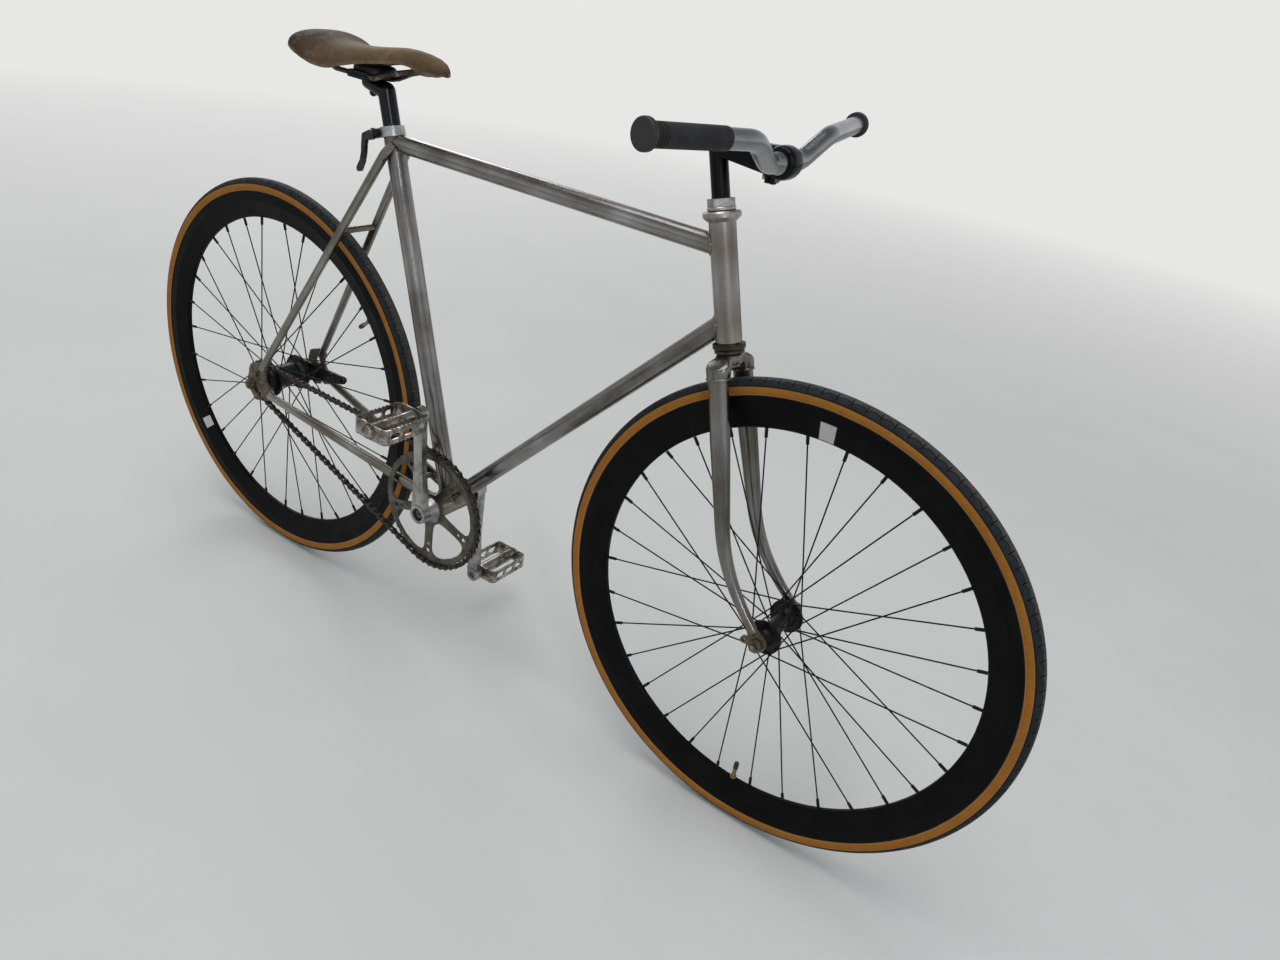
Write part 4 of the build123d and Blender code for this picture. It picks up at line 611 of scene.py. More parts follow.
def flat_loops(loops, centre, thickness, bevel, steps=1):
    """A plate in an upright plane: its outline and holes, as loops of (forward, up) points about a centre."""
    curve = bpy.data.curves.new("plate", "CURVE")
    curve.dimensions = "2D"
    curve.fill_mode = "BOTH"
    curve.extrude = thickness / 2 - bevel
    curve.bevel_depth = bevel
    curve.bevel_resolution = steps
    for loop in loops:
        spline = curve.splines.new("POLY")
        spline.points.add(len(loop) - 1)
        spline.points.foreach_set("co", [value for x, z in loop for value in (x, z, 0, 1)])
        spline.use_cyclic_u = True
    plate = new_object("plate", curve)
    bpy.context.view_layer.update()
    mesh = bpy.data.meshes.new_from_object(plate.evaluated_get(bpy.context.evaluated_depsgraph_get()))
    bpy.data.objects.remove(plate)
    mesh.transform(Matrix.Translation(centre) @ Matrix.Rotation(pi / 2, 4, "X"))
    points = [vertex.co.copy() for vertex in mesh.vertices]
    faces = [tuple(polygon.vertices) for polygon in mesh.polygons]
    bpy.data.meshes.remove(mesh)
    return points, faces


def polar(radius, turn):
    return radius * cos(turn), radius * sin(turn)


def circle(radius, steps, first=0, last=360, place=(0, 0)):
    """Points along a circle or an arc, in metres about a centre."""
    points = [polar(radius, radians(first + (last - first) * step / steps)) for step in range(steps)]
    return [(place[0] + x, place[1] + z) for x, z in points]


# ---- Saddle, in millimetres from the frame's origin: (x, value) knots ----
SADDLE_HALF_WIDTH = (
    (-107, 0), (-105, 30), (-101, 50), (-94, 63), (-84, 70), (-70, 74.5), (-55, 74), (-40, 69), (-25, 60),
    (-8, 48), (8, 38), (25, 30), (48, 24.5), (75, 21), (100, 18.5), (125, 16.5), (140, 14.5), (150, 11),
    (156, 6), (158, 0),
)
SADDLE_CREST = (
    (-107, -12), (-104, -4), (-99, 2.5), (-92, 6), (-82, 7.5), (-70, 7), (-58, 3.8), (-46, 0.4), (-34, -1.2),
    (-18, -1.2), (5, 0.2), (25, 2), (40, 4), (60, 7), (80, 9.5), (100, 10), (120, 8.8), (138, 6), (149, 2),
    (155, -2.5), (158, -7),
)
SADDLE_FOOT = (
    (-107, -15), (-98, -17), (-84, -19), (-66, -24), (-53, -28.5), (-43, -32.5), (-35, -34.5), (-25, -36),
    (-16, -34.5), (-8, -31), (0, -28), (13, -24), (28, -21), (50, -17), (79, -12), (94, -11.5),
    (104, -13), (113, -16.5), (121, -18), (135, -17.8), (146, -17.2), (152, -15.8), (156, -13), (158, -9.5),
)
SADDLE_FULLNESS = ((-100, 2.6), (-80, 2.15), (-60, 1.85), (-30, 1.85), (20, 2.3), (158, 2.3))
SADDLE_LEATHER = 3.2 * MM
SADDLE_RINGS, SADDLE_STEPS = 84, 44


def close_ends(mesh):
    """Closes the saddle's first and last ring with faces, and turns every face to the outside."""
    work = bmesh.new()
    work.from_mesh(mesh)
    for first in (0, (SADDLE_RINGS - 1) * (SADDLE_STEPS + 1)):
        work.verts.ensure_lookup_table()
        end_ring = [work.verts[first + step] for step in range(SADDLE_STEPS + 1)]
        bmesh.ops.contextual_create(work, geom=end_ring)
    bmesh.ops.recalc_face_normals(work, faces=work.faces)
    if sum(face.normal.z * face.calc_area() for face in work.faces) < 0:
        bmesh.ops.reverse_faces(work, faces=work.faces)
    bmesh.ops.triangulate(work, faces=[face for face in work.faces if len(face.verts) > 4])
    work.to_mesh(mesh)
    work.free()


def make_saddle(material):
    """The hide: rings across a shell that is open below, given its thickness and smoothed."""
    low, high = SADDLE_CREST[0][0], SADDLE_CREST[-1][0]
    rings = []
    for place in range(SADDLE_RINGS):
        share = 0.5 - 0.5 * cos(pi * (0.012 + 0.976 * place / (SADDLE_RINGS - 1)))
        x = low + (high - low) * share
        half, crest = between(SADDLE_HALF_WIDTH, x), between(SADDLE_CREST, x)
        foot, power = between(SADDLE_FOOT, x), 2 / between(SADDLE_FULLNESS, x)
        arch = []
        for step in range(SADDLE_STEPS + 1):
            turn = pi * step / SADDLE_STEPS
            up = foot + (crest - foot) * sin(turn) ** power
            arch.append(Vector((x, half * signed_power(cos(turn), power), up)) * MM)
        rings.append(arch)
    mesh = bpy.data.meshes.new("saddle_hide")
    points, faces = net(rings, closed=False)
    mesh.from_pydata(points, [], faces)
    hems = [max(0, 1 - min(step, SADDLE_STEPS - step) / 3) for step in range(SADDLE_STEPS + 1)]
    mesh.attributes.new("hem", "FLOAT", "POINT").data.foreach_set("value", hems * SADDLE_RINGS)
    close_ends(mesh)
    saddle = new_piece("saddle_hide", mesh, material, "frame")
    hide = saddle.modifiers.new("hide", "SOLIDIFY")
    hide.thickness = SADDLE_LEATHER
    hide.offset = -1
    smooth = saddle.modifiers.new("smooth", "SUBSURF")
    smooth.levels = smooth.render_levels = 1
    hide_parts("saddle")


make_saddle(saddle_leather("saddle_leather"))

# ---- Tyres, in millimetres ----
TYRE_RING = 324  # the section's middle from the axle
TREAD_R, WALL_R = 14, 13.65
TREAD_ANGLES = (31, 25, 19.3)  # degrees above the section's side
WALL_ANGLES = (18.7, 12, 5, -2, -9, -14)
TREAD_PLACES = (0, 1.3, SLIT_INNER - SLIT_EDGE, SLIT_INNER, 4, 5.5, 7, 8.3, 9.8, SLIT_OUTER,
                SLIT_OUTER + SLIT_EDGE)
# From the bead's foot round the inside, as (y, radius).
TYRE_BEAD = ((12.75, 319.3), (12.15, 317.7), (11.8, 316.55), (9.35, 316.3), (9.35, 311.4), (6.6, 311.4),
             (8.2, 316), (11, 321.5), (10.6, 328), (6.6, 333.2))
INNER_CROWN = TYRE_RING + 11.3


def tyre_half():
    """One side of the section, from the crown to the bead and inside: (y, radius, share of slit depth)."""
    half = []
    for y in TREAD_PLACES:
        half.append((y, TYRE_RING + sqrt(TREAD_R**2 - y**2), float(SLIT_INNER <= y <= SLIT_OUTER)))
    for size, angles in ((TREAD_R, TREAD_ANGLES), (WALL_R, WALL_ANGLES)):
        for y, rise in (polar(size, radians(angle)) for angle in angles):
            half.append((y, TYRE_RING + rise, 0))
    return half + [(y, radius, 0) for y, radius in TYRE_BEAD]


def make_tyre(word, centre):
    """A tyre with a slit tread: each side's slits stand half a pitch from the other side's."""
    right = tyre_half()
    section = [(-y, radius, cut, 0) for y, radius, cut in right]
    section.append((0, INNER_CROWN, 0, 0))
    section += [(y, radius, 0, cut) for y, radius, cut in reversed(right[1:])]
    pitch = tau * (TYRE_RING + TREAD_R) / TREAD_PITCHES
    wide, lip = SLIT_WIDTH / pitch, SLIT_EDGE / pitch
    slit = ((0, 0), (lip, SLIT_DEPTH), (wide - lip, SLIT_DEPTH), (wide, 0))
    rows = []
    for half_pitch in range(2 * TREAD_PITCHES):
        for ahead, depth in slit:
            out = outward(tau * (half_pitch / 2 + ahead) / TREAD_PITCHES) * MM
            rows.append([centre + out * (radius - depth * cuts[half_pitch % 2]) + ACROSS * (y * MM)
                         for y, radius, *cuts in section])
    material = tyre_rubber(f"{word}_tyre_rubber", centre)
    tyre = add_piece(f"{word}_tyre_tread", net(rows, wrap=True), material, f"{word}_wheel", 35)
    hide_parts(f"{word}_tyre")


for word, axle in WHEELS.items():
    make_tyre(word, axle)

# ---- Fork: two raked blades in a cast crown, in millimetres up the steering axis from the rake's foot ----
FORK_RAKE = 46.6
BLADE_TOP, BLADE_SOCKET, BLADE_END = 352, 350, 16
# The oval has its full size above BLADE_FULL, and the blade is straight above BLADE_BEND.
BLADE_FULL, BLADE_BEND, BLADE_THROW = 260, 150, 53
BLADE_THIN, BLADE_WIDE, BLADE_DEEP = 13, 20, 27  # across the round end, and across the oval top two ways
BLADE_SPREAD, DROPOUT_SPREAD = 30.5, 52.5
CROWN_TOP, CROWN_HEIGHT, CROWN_SLOPE = 367, 28, 15
SOCKET_HALF_WIDTH, SOCKET_HALF_DEPTH = 12.4, 15.9
CROWN_SEAT, CROWN_BRIDGE = 17, 11.5
LIP_RADIUS = 1.7


def on_fork(up, forward, across):
    """A place on the fork, from millimetres along its own three directions."""
    rake_foot = FRONT_AXLE - STEER_FORWARD * (FORK_RAKE * MM)
    return rake_foot + (STEER_UP * up + STEER_FORWARD * forward + ACROSS * across) * MM


def blade_centre(distance, side):
    """The blade's middle line: straight down from the crown, then curving forward."""
    bend = max(0, 1 - distance / BLADE_BEND)
    share = (distance - BLADE_END) / (BLADE_SOCKET - BLADE_END)
    spread = DROPOUT_SPREAD + (BLADE_SPREAD - DROPOUT_SPREAD) * share
    return on_fork(distance, BLADE_THROW * bend**2, side * spread)


def make_fork_blades(material):
    """Both blades: oval at the crown, round and thin at the dropout, closed by a small dome."""
    stations = [(BLADE_TOP, 0)] + [(BLADE_TOP - (BLADE_TOP - BLADE_END) * step / 72, 1) for step in range(73)]
    stations += [(BLADE_END - 1.6, 0.86), (BLADE_END - 2.8, 0.55), (BLADE_END - 3.2, 0)]
    shells = []
    for side in (-1, 1):
        rings = []
        for distance, swell in stations:
            run = (blade_centre(distance + 1, side) - blade_centre(distance - 1, side)).normalized()
            across = (ACROSS - run * run.y).normalized()
            share = share_of(distance, BLADE_END, BLADE_FULL)
            wide = 0.5 * (BLADE_THIN + (BLADE_WIDE - BLADE_THIN) * share) * swell * MM
            deep = 0.5 * (BLADE_THIN + (BLADE_DEEP - BLADE_THIN) * share) * swell * MM
            rings.append(ring(blade_centre(distance, side), across * wide, run.cross(across) * deep, 32))
        shells.append(net(rings))
    blades = add_piece("fork_blade_tubes", joined(*shells), material, "steering")
    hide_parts("fork_blades")


def make_fork_crown(material):
    """The crown: rounded sections across it, with sloping shoulders, an arch and a lip round each socket."""
    reach, inner = BLADE_SPREAD + SOCKET_HALF_WIDTH, BLADE_SPREAD - SOCKET_HALF_WIDTH
    rings = []
    for turn in [pi * step / 120 for step in range(121)]:
        y = -0.9999 * reach * cos(turn)
        out = abs(y)
        deep = max(sqrt(max(CROWN_SEAT**2 - y * y, 0)), CROWN_BRIDGE if out < BLADE_SPREAD else 0)
        socket = 1 - ((out - BLADE_SPREAD) / SOCKET_HALF_WIDTH) ** 2
        deep = max(deep, SOCKET_HALF_DEPTH * sqrt(max(socket, 0)))
        top = -CROWN_SLOPE * share_of(out, 0.8 * CROWN_SEAT, reach) ** 1.35
        arch = share_of(out, 0.86 * inner, 1.02 * inner)
        bottom = -CROWN_SLOPE - (CROWN_HEIGHT - CROWN_SLOPE) * arch
        middle, half = CROWN_TOP + 0.5 * (top + bottom), 0.5 * (top - bottom)
        rings.append([on_fork(middle + half * signed_power(sin(corner), 0.45),
                              deep * signed_power(cos(corner), 0.45), y) for corner in turns(48)])
    crown = add_piece("fork_crown_lug", net(rings), material, "steering", 60)
    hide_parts("fork_crown")
    for side, word in SIDES:
        socket = on_fork(CROWN_TOP - CROWN_HEIGHT + 1.3, 0, side * (BLADE_SPREAD + 0.4))
        loop = ring(socket, ACROSS * (side * (SOCKET_HALF_WIDTH - 1) * MM),
                    STEER_FORWARD * ((SOCKET_HALF_DEPTH - 1) * MM), 64)
        ring_bead(f"crown_lip_{word}", loop, LIP_RADIUS * MM, material, "steering", 0)


make_fork_blades(bare_steel("blade_steel", STEER_UP, (0.245, 0.236, 0.22), (0.105, 0.092, 0.076)))
make_fork_crown(bare_steel("crown_steel", STEER_UP, (0.27, 0.26, 0.24), (0.105, 0.09, 0.072), 0.6))

# ---- Chainring: five slender arms, each with two small openings near its end ----
CHAINRING_TEETH = 50
TOOTH_HEIGHT = 1.7 * MM
ARMS = 5
ARM_HALF_WIDTH = 7.6 * MM
WINDOW_INNER, WINDOW_OUTER = 27 * MM, 87 * MM
WINDOW_SQUARENESS = 4.5
ARM_ANGLE = -90  # one arm points straight down
ARM_HOLES = ((66 * MM, 3 * MM), (78 * MM, 4.2 * MM))  # from the axle, and their size


def ring_window(along):
    """A rounded window that starts at the arm at an angle and ends at the next arm."""
    middle, reach = 0.5 * (WINDOW_INNER + WINDOW_OUTER), 0.5 * (WINDOW_OUTER - WINDOW_INNER)
    half_gap = pi / ARMS
    window = []
    for turn in turns(80):
        radius = middle - reach * cos(turn)
        fullness = (1 - abs(cos(turn)) ** WINDOW_SQUARENESS) ** (1 / WINDOW_SQUARENESS)
        swing = (half_gap - asin(ARM_HALF_WIDTH / radius)) * fullness * (1 if sin(turn) > 0 else -1)
        window.append(polar(radius, along + half_gap + swing))
    return window


def arm_hole(along, distance, size):
    """A small three-sided opening on an arm."""
    hole = []
    for turn in turns(24):
        radius = size * (1 - 0.22 * cos(3 * turn))
        ahead, beside = distance - radius * cos(turn), radius * sin(turn)
        hole.append((ahead * cos(along) - beside * sin(along), ahead * sin(along) + beside * cos(along)))
    return hole


def make_chainring(material):
    """The ring's plate, with its teeth, bore and width where the CAD ring has them."""
    data = np.array([v.co for v in nodes["chainring"].data.vertices]) - np.array(CRANK_AXLE)
    radii = np.hypot(data[:, 0], data[:, 2])
    tip, bore = float(radii.max()), float(radii.min())
    low, high = float(data[:, 1].min()), float(data[:, 1].max())
    tips = data[radii > tip - 0.05 * MM]
    phases = np.arctan2(tips[:, 2], tips[:, 0]) * CHAINRING_TEETH
    phase = float(np.arctan2(np.sin(phases).mean(), np.cos(phases).mean())) / CHAINRING_TEETH
    teeth = []
    for turn in turns(CHAINRING_TEETH * 14):
        crest = 0.5 + 0.5 * cos(CHAINRING_TEETH * (turn - phase))
        teeth.append(polar(tip - TOOTH_HEIGHT * (1 - crest**0.7), turn))
    loops = [teeth, circle(bore, 72)]
    for arm in range(ARMS):
        along = radians(ARM_ANGLE) + tau * arm / ARMS
        loops += [ring_window(along)] + [arm_hole(along, *hole) for hole in ARM_HOLES]
    plate = flat_loops(loops, CRANK_AXLE + ACROSS * (0.5 * (low + high)), high - low, 0.25 * MM)
    chainring = add_piece("chainring_plate", plate, material, "crankset", 30)
    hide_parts("chainring")


make_chainring(worn_metal("chainring_alloy", (0.135, 0.13, 0.104), (0.075, 0.07, 0.053), 0.05, (0.26, 0.44)))

# ---- Saddle clamp's upper cradle and the rails' front bracket ----


def rounded_block(name, low, high, power, material, taper=1):
    """A cast block between two corners, with rounded sections across the bicycle."""
    middle, half = (Vector(low) + Vector(high)) / 2, (Vector(high) - Vector(low)) / 2
    rings = []
    for turn in [pi * step / 16 for step in range(17)]:
        swell = max(sin(turn), 0) ** 0.35
        section = []
        for corner in turns(40):
            rise = signed_power(sin(corner), power)
            narrow = 1 - (1 - taper) * 0.5 * (1 + rise)
            forward = signed_power(cos(corner), power) * swell * narrow
            section.append(middle + Vector((half.x * forward, -half.y * cos(turn), half.z * rise * swell)))
        rings.append(section)
    add_piece(name, net(rings), material, "frame", 60)


clamp_paint = worn_black("cradle_black", amount=0.7)
rounded_block("saddle_cradle", (-0.014, -0.024, -0.036), (0.046, 0.024, -0.0215), 0.5, clamp_paint, 0.85)
rounded_block("rail_bracket", (0.106, -0.013, -0.0205), (0.128, 0.013, -0.0065), 0.6, clamp_paint)

# ---- Blank stickers on the rims ----
STICKER_ROWS, STICKER_COLUMNS = 14, 12
STICKER_INNER = 0.2765
STICKER_FACE, STICKER_BACK = 0.22 * MM, 0.02 * MM  # above the rim


def make_sticker(word, outer, first, last, material):
    """A blank label pressed onto the right side of a rim: its outer radius, and its angles from forward."""
    tree = BVHTree.FromObject(nodes[f"{word}_rim"], bpy.context.evaluated_depsgraph_get())
    spots = []
    for row in range(STICKER_ROWS):
        radius = STICKER_INNER + (outer - STICKER_INNER) * row / (STICKER_ROWS - 1)
        for column in range(STICKER_COLUMNS):
            turn = radians(first + (last - first) * column / (STICKER_COLUMNS - 1))
            beside = WHEELS[word] + outward(turn) * radius - ACROSS * 0.05
            place, normal = tree.ray_cast(beside, ACROSS)[:2]
            spots.append((place, -normal if normal.y > 0 else normal))
    points = [place + normal * lift for lift in (STICKER_FACE, STICKER_BACK) for place, normal in spots]
    face = grid_faces(STICKER_ROWS, STICKER_COLUMNS)
    back = [tuple(len(spots) + index for index in reversed(corners)) for corners in face]
    edges = {edge for corners in face for edge in zip(corners, corners[1:] + corners[:1])}
    border = [(b, a, len(spots) + a, len(spots) + b) for a, b in sorted(edges) if (b, a) not in edges]
    shell = points, face + back + border
    add_piece(f"{word}_rim_sticker", shell, material, f"{word}_wheel")


sticker_paper = plain_dull("sticker_paper", (0.4, 0.39, 0.36), (0.6, 0.59, 0.56), 0.42, 130)
make_sticker("front", 0.301, 88.2, 92.2, sticker_paper)
make_sticker("rear", 0.296, -143.6, -139.5, sticker_paper)

# ---- Weld beads where the tubes meet ----
BEAD = 1.9 * MM
weld_steel = bare_steel("weld_steel", ALONG, (0.3, 0.28, 0.25), (0.11, 0.09, 0.068), 0.8)
HEAD_TUBE = (STEER_POINT, STEER_UP, HEAD_RADIUS)
SEAT_TUBE = (CRANK_AXLE, SEAT_UP, SEAT_RADIUS)
SHELL = (CRANK_AXLE, ACROSS, SHELL_RADIUS)
down_up = down_run.cross(ACROSS).normalized()
seat_side = SEAT_UP.cross(ACROSS).normalized()


def junction(start, run, wide, tall, other, other_axis, other_radius):
    """Where a tube's side meets a round tube: wide and tall are the first tube's two half sizes."""
    flow = run - other_axis * run.dot(other_axis)
    loop = []
    for point in ring(start, wide, tall, 64):
        flat = point - other
        flat -= other_axis * flat.dot(other_axis)
        a, b = flow.dot(flow), flat.dot(flow)
        root = max(b * b - a * (flat.dot(flat) - other_radius**2), 0)
        loop.append(point + run * ((-b - sqrt(root)) / a))
    return loop


def weld(name, start, run, wide, tall, other, size=1):
    """A bead of weld on the frame, where one tube meets another."""
    ring_bead(f"weld_{name}", junction(start, run, wide, tall, *other), BEAD * size, weld_steel, "frame", 1)


for name, start, run, radius, tall, other, size in (
        ("top_head", top_rear, ALONG, TOP_RADIUS, UP, HEAD_TUBE, 1),
        ("top_seat", top_front, -ALONG, TOP_RADIUS, UP, SEAT_TUBE, 0.7),
        ("down_head", CRANK_AXLE, down_run, DOWN_RADIUS, down_up, HEAD_TUBE, 1),
        ("down_shell", down_front, -down_run, DOWN_RADIUS, down_up, SHELL, 1),
        ("seat_shell", top_rear, -SEAT_UP, SEAT_RADIUS, seat_side, SHELL, 1)):
    weld(name, start, run, ACROSS * radius, tall * radius, other, size)

STAY_HALF_WIDTH, STAY_HALF_HEIGHT = 6 * MM, 10.8 * MM
STAY_REAR, STAY_FRONT = 60 * MM, 30 * MM  # how much of a stay's ends its line is taken from
for side, word in SIDES:
    stay = [v.co for v in nodes["chainstays"].data.vertices if v.co.y * side > 0]
    rear_end = np.array([place for place in stay if place.x < REAR_AXLE.x + STAY_REAR])
    front_end = np.array([place for place in stay if place.x > CRANK_AXLE.x - STAY_FRONT])
    start, end = (Vector(0.5 * (corners.min(0) + corners.max(0))) for corners in (rear_end, front_end))
    run = (end - start).normalized()
    weld(f"chainstay_{word}", start, run, (ACROSS - run * run.y) * STAY_HALF_WIDTH,
         run.cross(ACROSS).normalized() * STAY_HALF_HEIGHT, SHELL, 0.8)

# ---- Stem, in millimetres ----
QUILL = ((-94, 0), (-94, 11.1), (11, 11.1), (12, 10.1), (12, 5.6), (4, 5.5), (4, 0))
ARM_EDGE, ARM_WIDTH = 2.4, 20
ARM_FRONT, ARM_REAR = 17.6, 10  # the arm's end radii, at the bar and at the quill
BAR_HOLE = 12.75
CLAMP_RADIUS = 19
CLAMP_HALF = ((-14.2, 12.76), (-14.2, 14.4), (-13.8, 15.7), (-12.9, 16.9), (-11.3, 17.9), (-8.5, 18.6),
              (-4.5, 18.95))
EAR_INNER, EAR_OUTER, EAR_HALF_HEIGHT, EAR_WIDTH, EAR_EDGE = 1, 5.5, 6, 11, 0.8
bar_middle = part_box("stem")[1] - Vector((CLAMP_RADIUS, 0, CLAMP_RADIUS)) * MM
bar_middle.y = 0
lug_middle = bar_middle + Vector((-0.6, 0, -0.98)) * (CLAMP_RADIUS * MM)


def make_stem(material):
    """Quill, tapered arm, round-edged clamp and the two ears of its slit, as one casting."""
    root = on_steering(bar_middle.z)
    quill = lathe(root, STEER_UP, millimetres(QUILL), 48, STEER_FORWARD)
    reach = (root.x - bar_middle.x, root.z - bar_middle.z)
    big, small = (ARM_FRONT - ARM_EDGE) * MM, (ARM_REAR - ARM_EDGE) * MM
    lean = degrees(atan2(reach[1], reach[0]))
    spread = degrees(acos((big - small) / hypot(*reach)))
    outline = circle(big, 64, lean + spread, lean + 360 - spread)
    outline += circle(small, 24, lean - spread, lean + spread, reach)
    hole = circle((BAR_HOLE + ARM_EDGE) * MM, 64)
    arm = flat_loops([outline, hole], bar_middle, ARM_WIDTH * MM, ARM_EDGE * MM, 4)
    rim = millimetres([*CLAMP_HALF, *[(-y, radius) for y, radius in reversed(CLAMP_HALF)]])
    clamp = lathe(bar_middle, ACROSS, rim, 96, ALONG, wrap=True)
    near, far, top = EAR_INNER + EAR_EDGE, EAR_OUTER - EAR_EDGE, EAR_HALF_HEIGHT
    ears = [millimetres([(low, -top), (high, -top), (high, top), (low, top)])
            for low, high in ((-far, -near), (near, far))]
    lugs = flat_loops(ears, lug_middle, EAR_WIDTH * MM, EAR_EDGE * MM, 2)
    stem = add_piece("stem_casting", joined(quill, arm, clamp, lugs), material, "steering")
    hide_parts("stem")


make_stem(gloss_black("stem_black", STEER_UP, 0.2, 0.15))

# ---- Seatpost ----
POST_HEAD_RADIUS = 10 * MM
POST_SHOULDER = 5.8 * MM  # below the head's middle
POST_BOLT_LENGTH, POST_BOLT_TOP, POST_BOLT_FOOT = 12.5 * MM, 7.5 * MM, 5.5 * MM


def make_seatpost(material):
    """The post, its head set back from a rounded shoulder, and the clamp's bolt."""
    low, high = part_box("seatpost")
    radius = high.y
    head = Vector((low.x + POST_HEAD_RADIUS, 0, high.z - POST_HEAD_RADIUS))
    top, foot = on_seat_tube(head.z - POST_SHOULDER), on_seat_tube(low.z) + SEAT_UP * radius
    bolt = head + ALONG * POST_HEAD_RADIUS
    shell = joined(capsule(foot, top, radius, radius), capsule(top, head, radius, POST_HEAD_RADIUS),
                   capsule(bolt, bolt - UP * POST_BOLT_LENGTH, POST_BOLT_TOP, POST_BOLT_FOOT))
    post = add_piece("seatpost_forging", shell, material, "frame")
    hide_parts("seatpost")


make_seatpost(gloss_black("post_black", SEAT_UP))

# ---- Small fittings, with their outlines in millimetres ----
EAR_FACE = EAR_OUTER * MM
VALVE_ANGLES = {"front": -90, "rear": 38.6}  # degrees from forward
BRAKE_ARM_ANGLE, BRAKE_ARM_LENGTH = radians(8.4), 0.101
CRANK_FACE, BRAKE_ARM_FACE = 0.0622, 0.0478  # from the bicycle's middle
bolt_steel = worn_metal("bolt_steel", (0.3, 0.29, 0.27), (0.13, 0.115, 0.095), 0.45, (0.25, 0.5))
turned("stem_bolt_head", lug_middle - ALONG * EAR_FACE, -ALONG,
       ((0, 0), (0, 4.7), (0.6, 5), (3.6, 5), (4.2, 4.6), (4.2, 0)),
       bolt_steel, "steering", 6)
turned("stem_bolt_nut", lug_middle + ALONG * EAR_FACE, ALONG,
       ((0, 0), (0, 4.7), (0.6, 5), (3, 5), (3.6, 4.6), (3.6, 2.8), (5.2, 2.8), (5.6, 2.4), (5.6, 0)),
       bolt_steel, "steering", 6)
for side, word in SIDES:
    axis = ACROSS * side
    turned(f"crank_bolt_{word}", CRANK_AXLE + axis * CRANK_FACE, axis,
           ((0, 0), (0, 9.8), (1.4, 9.8), (1.8, 9), (1.8, 7.6), (5, 7.2), (5.4, 6.8), (5.4, 3.4), (3.4, 3),
            (3.4, 0)), bolt_steel, "crankset")
    low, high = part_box(f"pedal_barrel_{word}")
    middle = 0.5 * (low + high)
    turned(f"pedal_cap_{word}", Vector((middle.x, low.y if side < 0 else high.y, middle.z)), axis,
           ((-0.4, 0), (-0.4, 9.8), (1, 9.8), (3, 8.6), (4.6, 5.8), (5, 0)), pedal_chrome, f"pedal_{word}")
for word, angle in VALVE_ANGLES.items():
    out = outward(radians(angle))
    rim_inner = WHEELS[word] + out * (RIM_RADIUS - RIM_DEPTH)
    turned(f"{word}_valve_nut", rim_inner - out * 0.0026, out,
           ((0, 3.1), (0, 4.6), (0.4, 5), (2.2, 5), (2.6, 4.6), (2.6, 3.1), (0, 3.1)), brass, f"{word}_wheel",
           12)
    turned(f"{word}_valve_cap", rim_inner - out * 0.0262, -out,
           ((-9, 3.1), (-8.8, 3.7), (0, 3.7), (1.6, 3), (2.2, 1.8), (2.4, 0)), plug_black, f"{word}_wheel",
           20)
arm_end = REAR_AXLE + outward(BRAKE_ARM_ANGLE) * BRAKE_ARM_LENGTH + ACROSS * BRAKE_ARM_FACE
turned("brake_arm_bolt", arm_end, ACROSS, ((0, 0), (0, 5), (0.5, 5.4), (3.4, 5.4), (4, 5), (4, 0)),
       bolt_steel, "frame", 6)

# ---- Stage: floor, lights, world and camera ----
FLOOR_SIZE = 40
BACKDROP = (0.8, 0.8, 0.79)
MIDDLE = Vector((0.35, 0, -0.5))
CAMERA_PLACE = Vector((1.1321, -1.0081, 0.1431))
CAMERA_YAW, CAMERA_PITCH, CAMERA_ROLL = radians(29.4356), radians(27.5492), radians(10.4389)
FOCAL_SHARE = 0.737375  # focal length as a share of the frame's width
SENSOR = 36


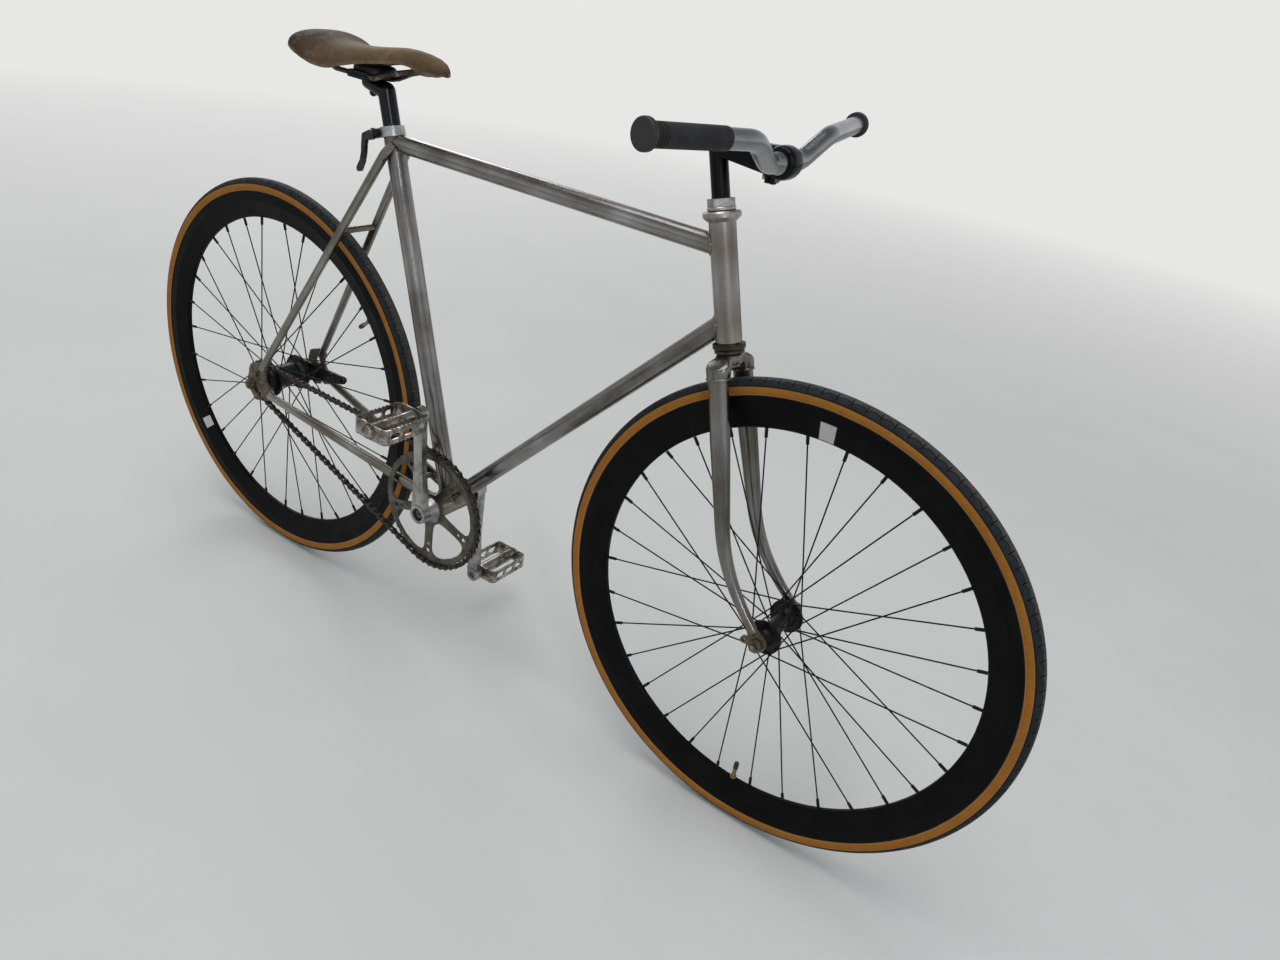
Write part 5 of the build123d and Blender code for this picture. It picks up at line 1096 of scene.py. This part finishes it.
def make_floor():
    """A pale painted floor that fades into the backdrop far from the bicycle."""
    mesh = bpy.data.meshes.new("floor")
    half = FLOOR_SIZE / 2
    corners = ((-half, -half), (half, -half), (half, half), (-half, half))
    mesh.from_pydata([(x, y, FLOOR_Z) for x, y in corners], [], [(0, 1, 2, 3)])
    s = Shader("floor_paint")
    feed(s.tree, s.bsdf.inputs["Base Color"], s.blend(s.noise(3), (0.56, 0.57, 0.55), (0.62, 0.625, 0.61)))
    s.bsdf.inputs["Roughness"].default_value = 0.75
    glow = s.node("Emission", BACKDROP).outputs[0]
    far = s.ramp(s.distance((MIDDLE.x, 0, FLOOR_Z)), 1.8, 6)
    share = s.times(far, s.node("LightPath").outputs["Is Camera Ray"])
    mixed = s.node("MixShader", share, s.bsdf.outputs[0], glow).outputs[0]
    feed(s.tree, s.tree.nodes["Material Output"].inputs["Surface"], mixed)
    mesh.materials.append(s.material)
    new_object("floor", mesh)


def area_light(name, place, size, power, colour=(1, 1, 1)):
    """A rectangular light that faces the bicycle's middle."""
    data = bpy.data.lights.new(name, "AREA")
    data.color = colour
    data.shape = "RECTANGLE"
    data.size, data.size_y = size
    data.energy = power
    light = new_object(name, data)
    light.location = place
    light.rotation_euler = (MIDDLE - Vector(place)).to_track_quat("-Z", "Y").to_euler()


def make_world():
    """Soft light from all round. Reflections see a room that is pale at the horizon and dim overhead."""
    world = bpy.data.worlds.new("studio")
    scene.world = world
    world.use_nodes = True
    tree = world.node_tree
    tree.nodes.clear()

    def add(kind, *inputs, **settings):
        return add_node(tree, kind, *inputs, **settings).outputs

    path = add("LightPath")
    plain = add("Math", path["Is Camera Ray"], path["Is Transmission Ray"], operation="MAXIMUM")[0]
    height = add("SeparateXYZ", add("TexCoord")["Generated"])[2]
    dimming = add("MapRange", height, 0.05, 0.75, 1, 0.22)[0]
    soft = add("Background", (0.94, 0.97, 1), 0.45)[0]
    room = add("Background", (0.78, 0.8, 0.83), dimming)[0]
    pale = add("Background", BACKDROP, 1)[0]
    lit = add("MixShader", path["Is Glossy Ray"], soft, room)[0]
    add("OutputWorld", add("MixShader", plain, lit, pale)[0])


def make_camera():
    data = bpy.data.cameras.new("camera")
    data.sensor_width = SENSOR
    data.lens = SENSOR * FOCAL_SHARE
    turn = Matrix.Rotation(CAMERA_YAW, 4, "Z") @ Matrix.Rotation(pi / 2 - CAMERA_PITCH, 4, "X")
    camera = new_object("camera", data)
    camera.matrix_world = Matrix.Translation(CAMERA_PLACE) @ turn @ Matrix.Rotation(CAMERA_ROLL, 4, "Z")
    scene.camera = camera


make_floor()
make_world()
make_camera()
area_light("ceiling", (0.2, -0.6, 4.2), (4.5, 3), 122)
area_light("front_window", (4.2, -3.6, 2.4), (0.7, 2.4), 52, (0.86, 0.93, 1))
area_light("rear_fill", (-4, 3, 2.5), (2.5, 2), 60)
bpy.context.scene.view_settings.view_transform = "Standard"
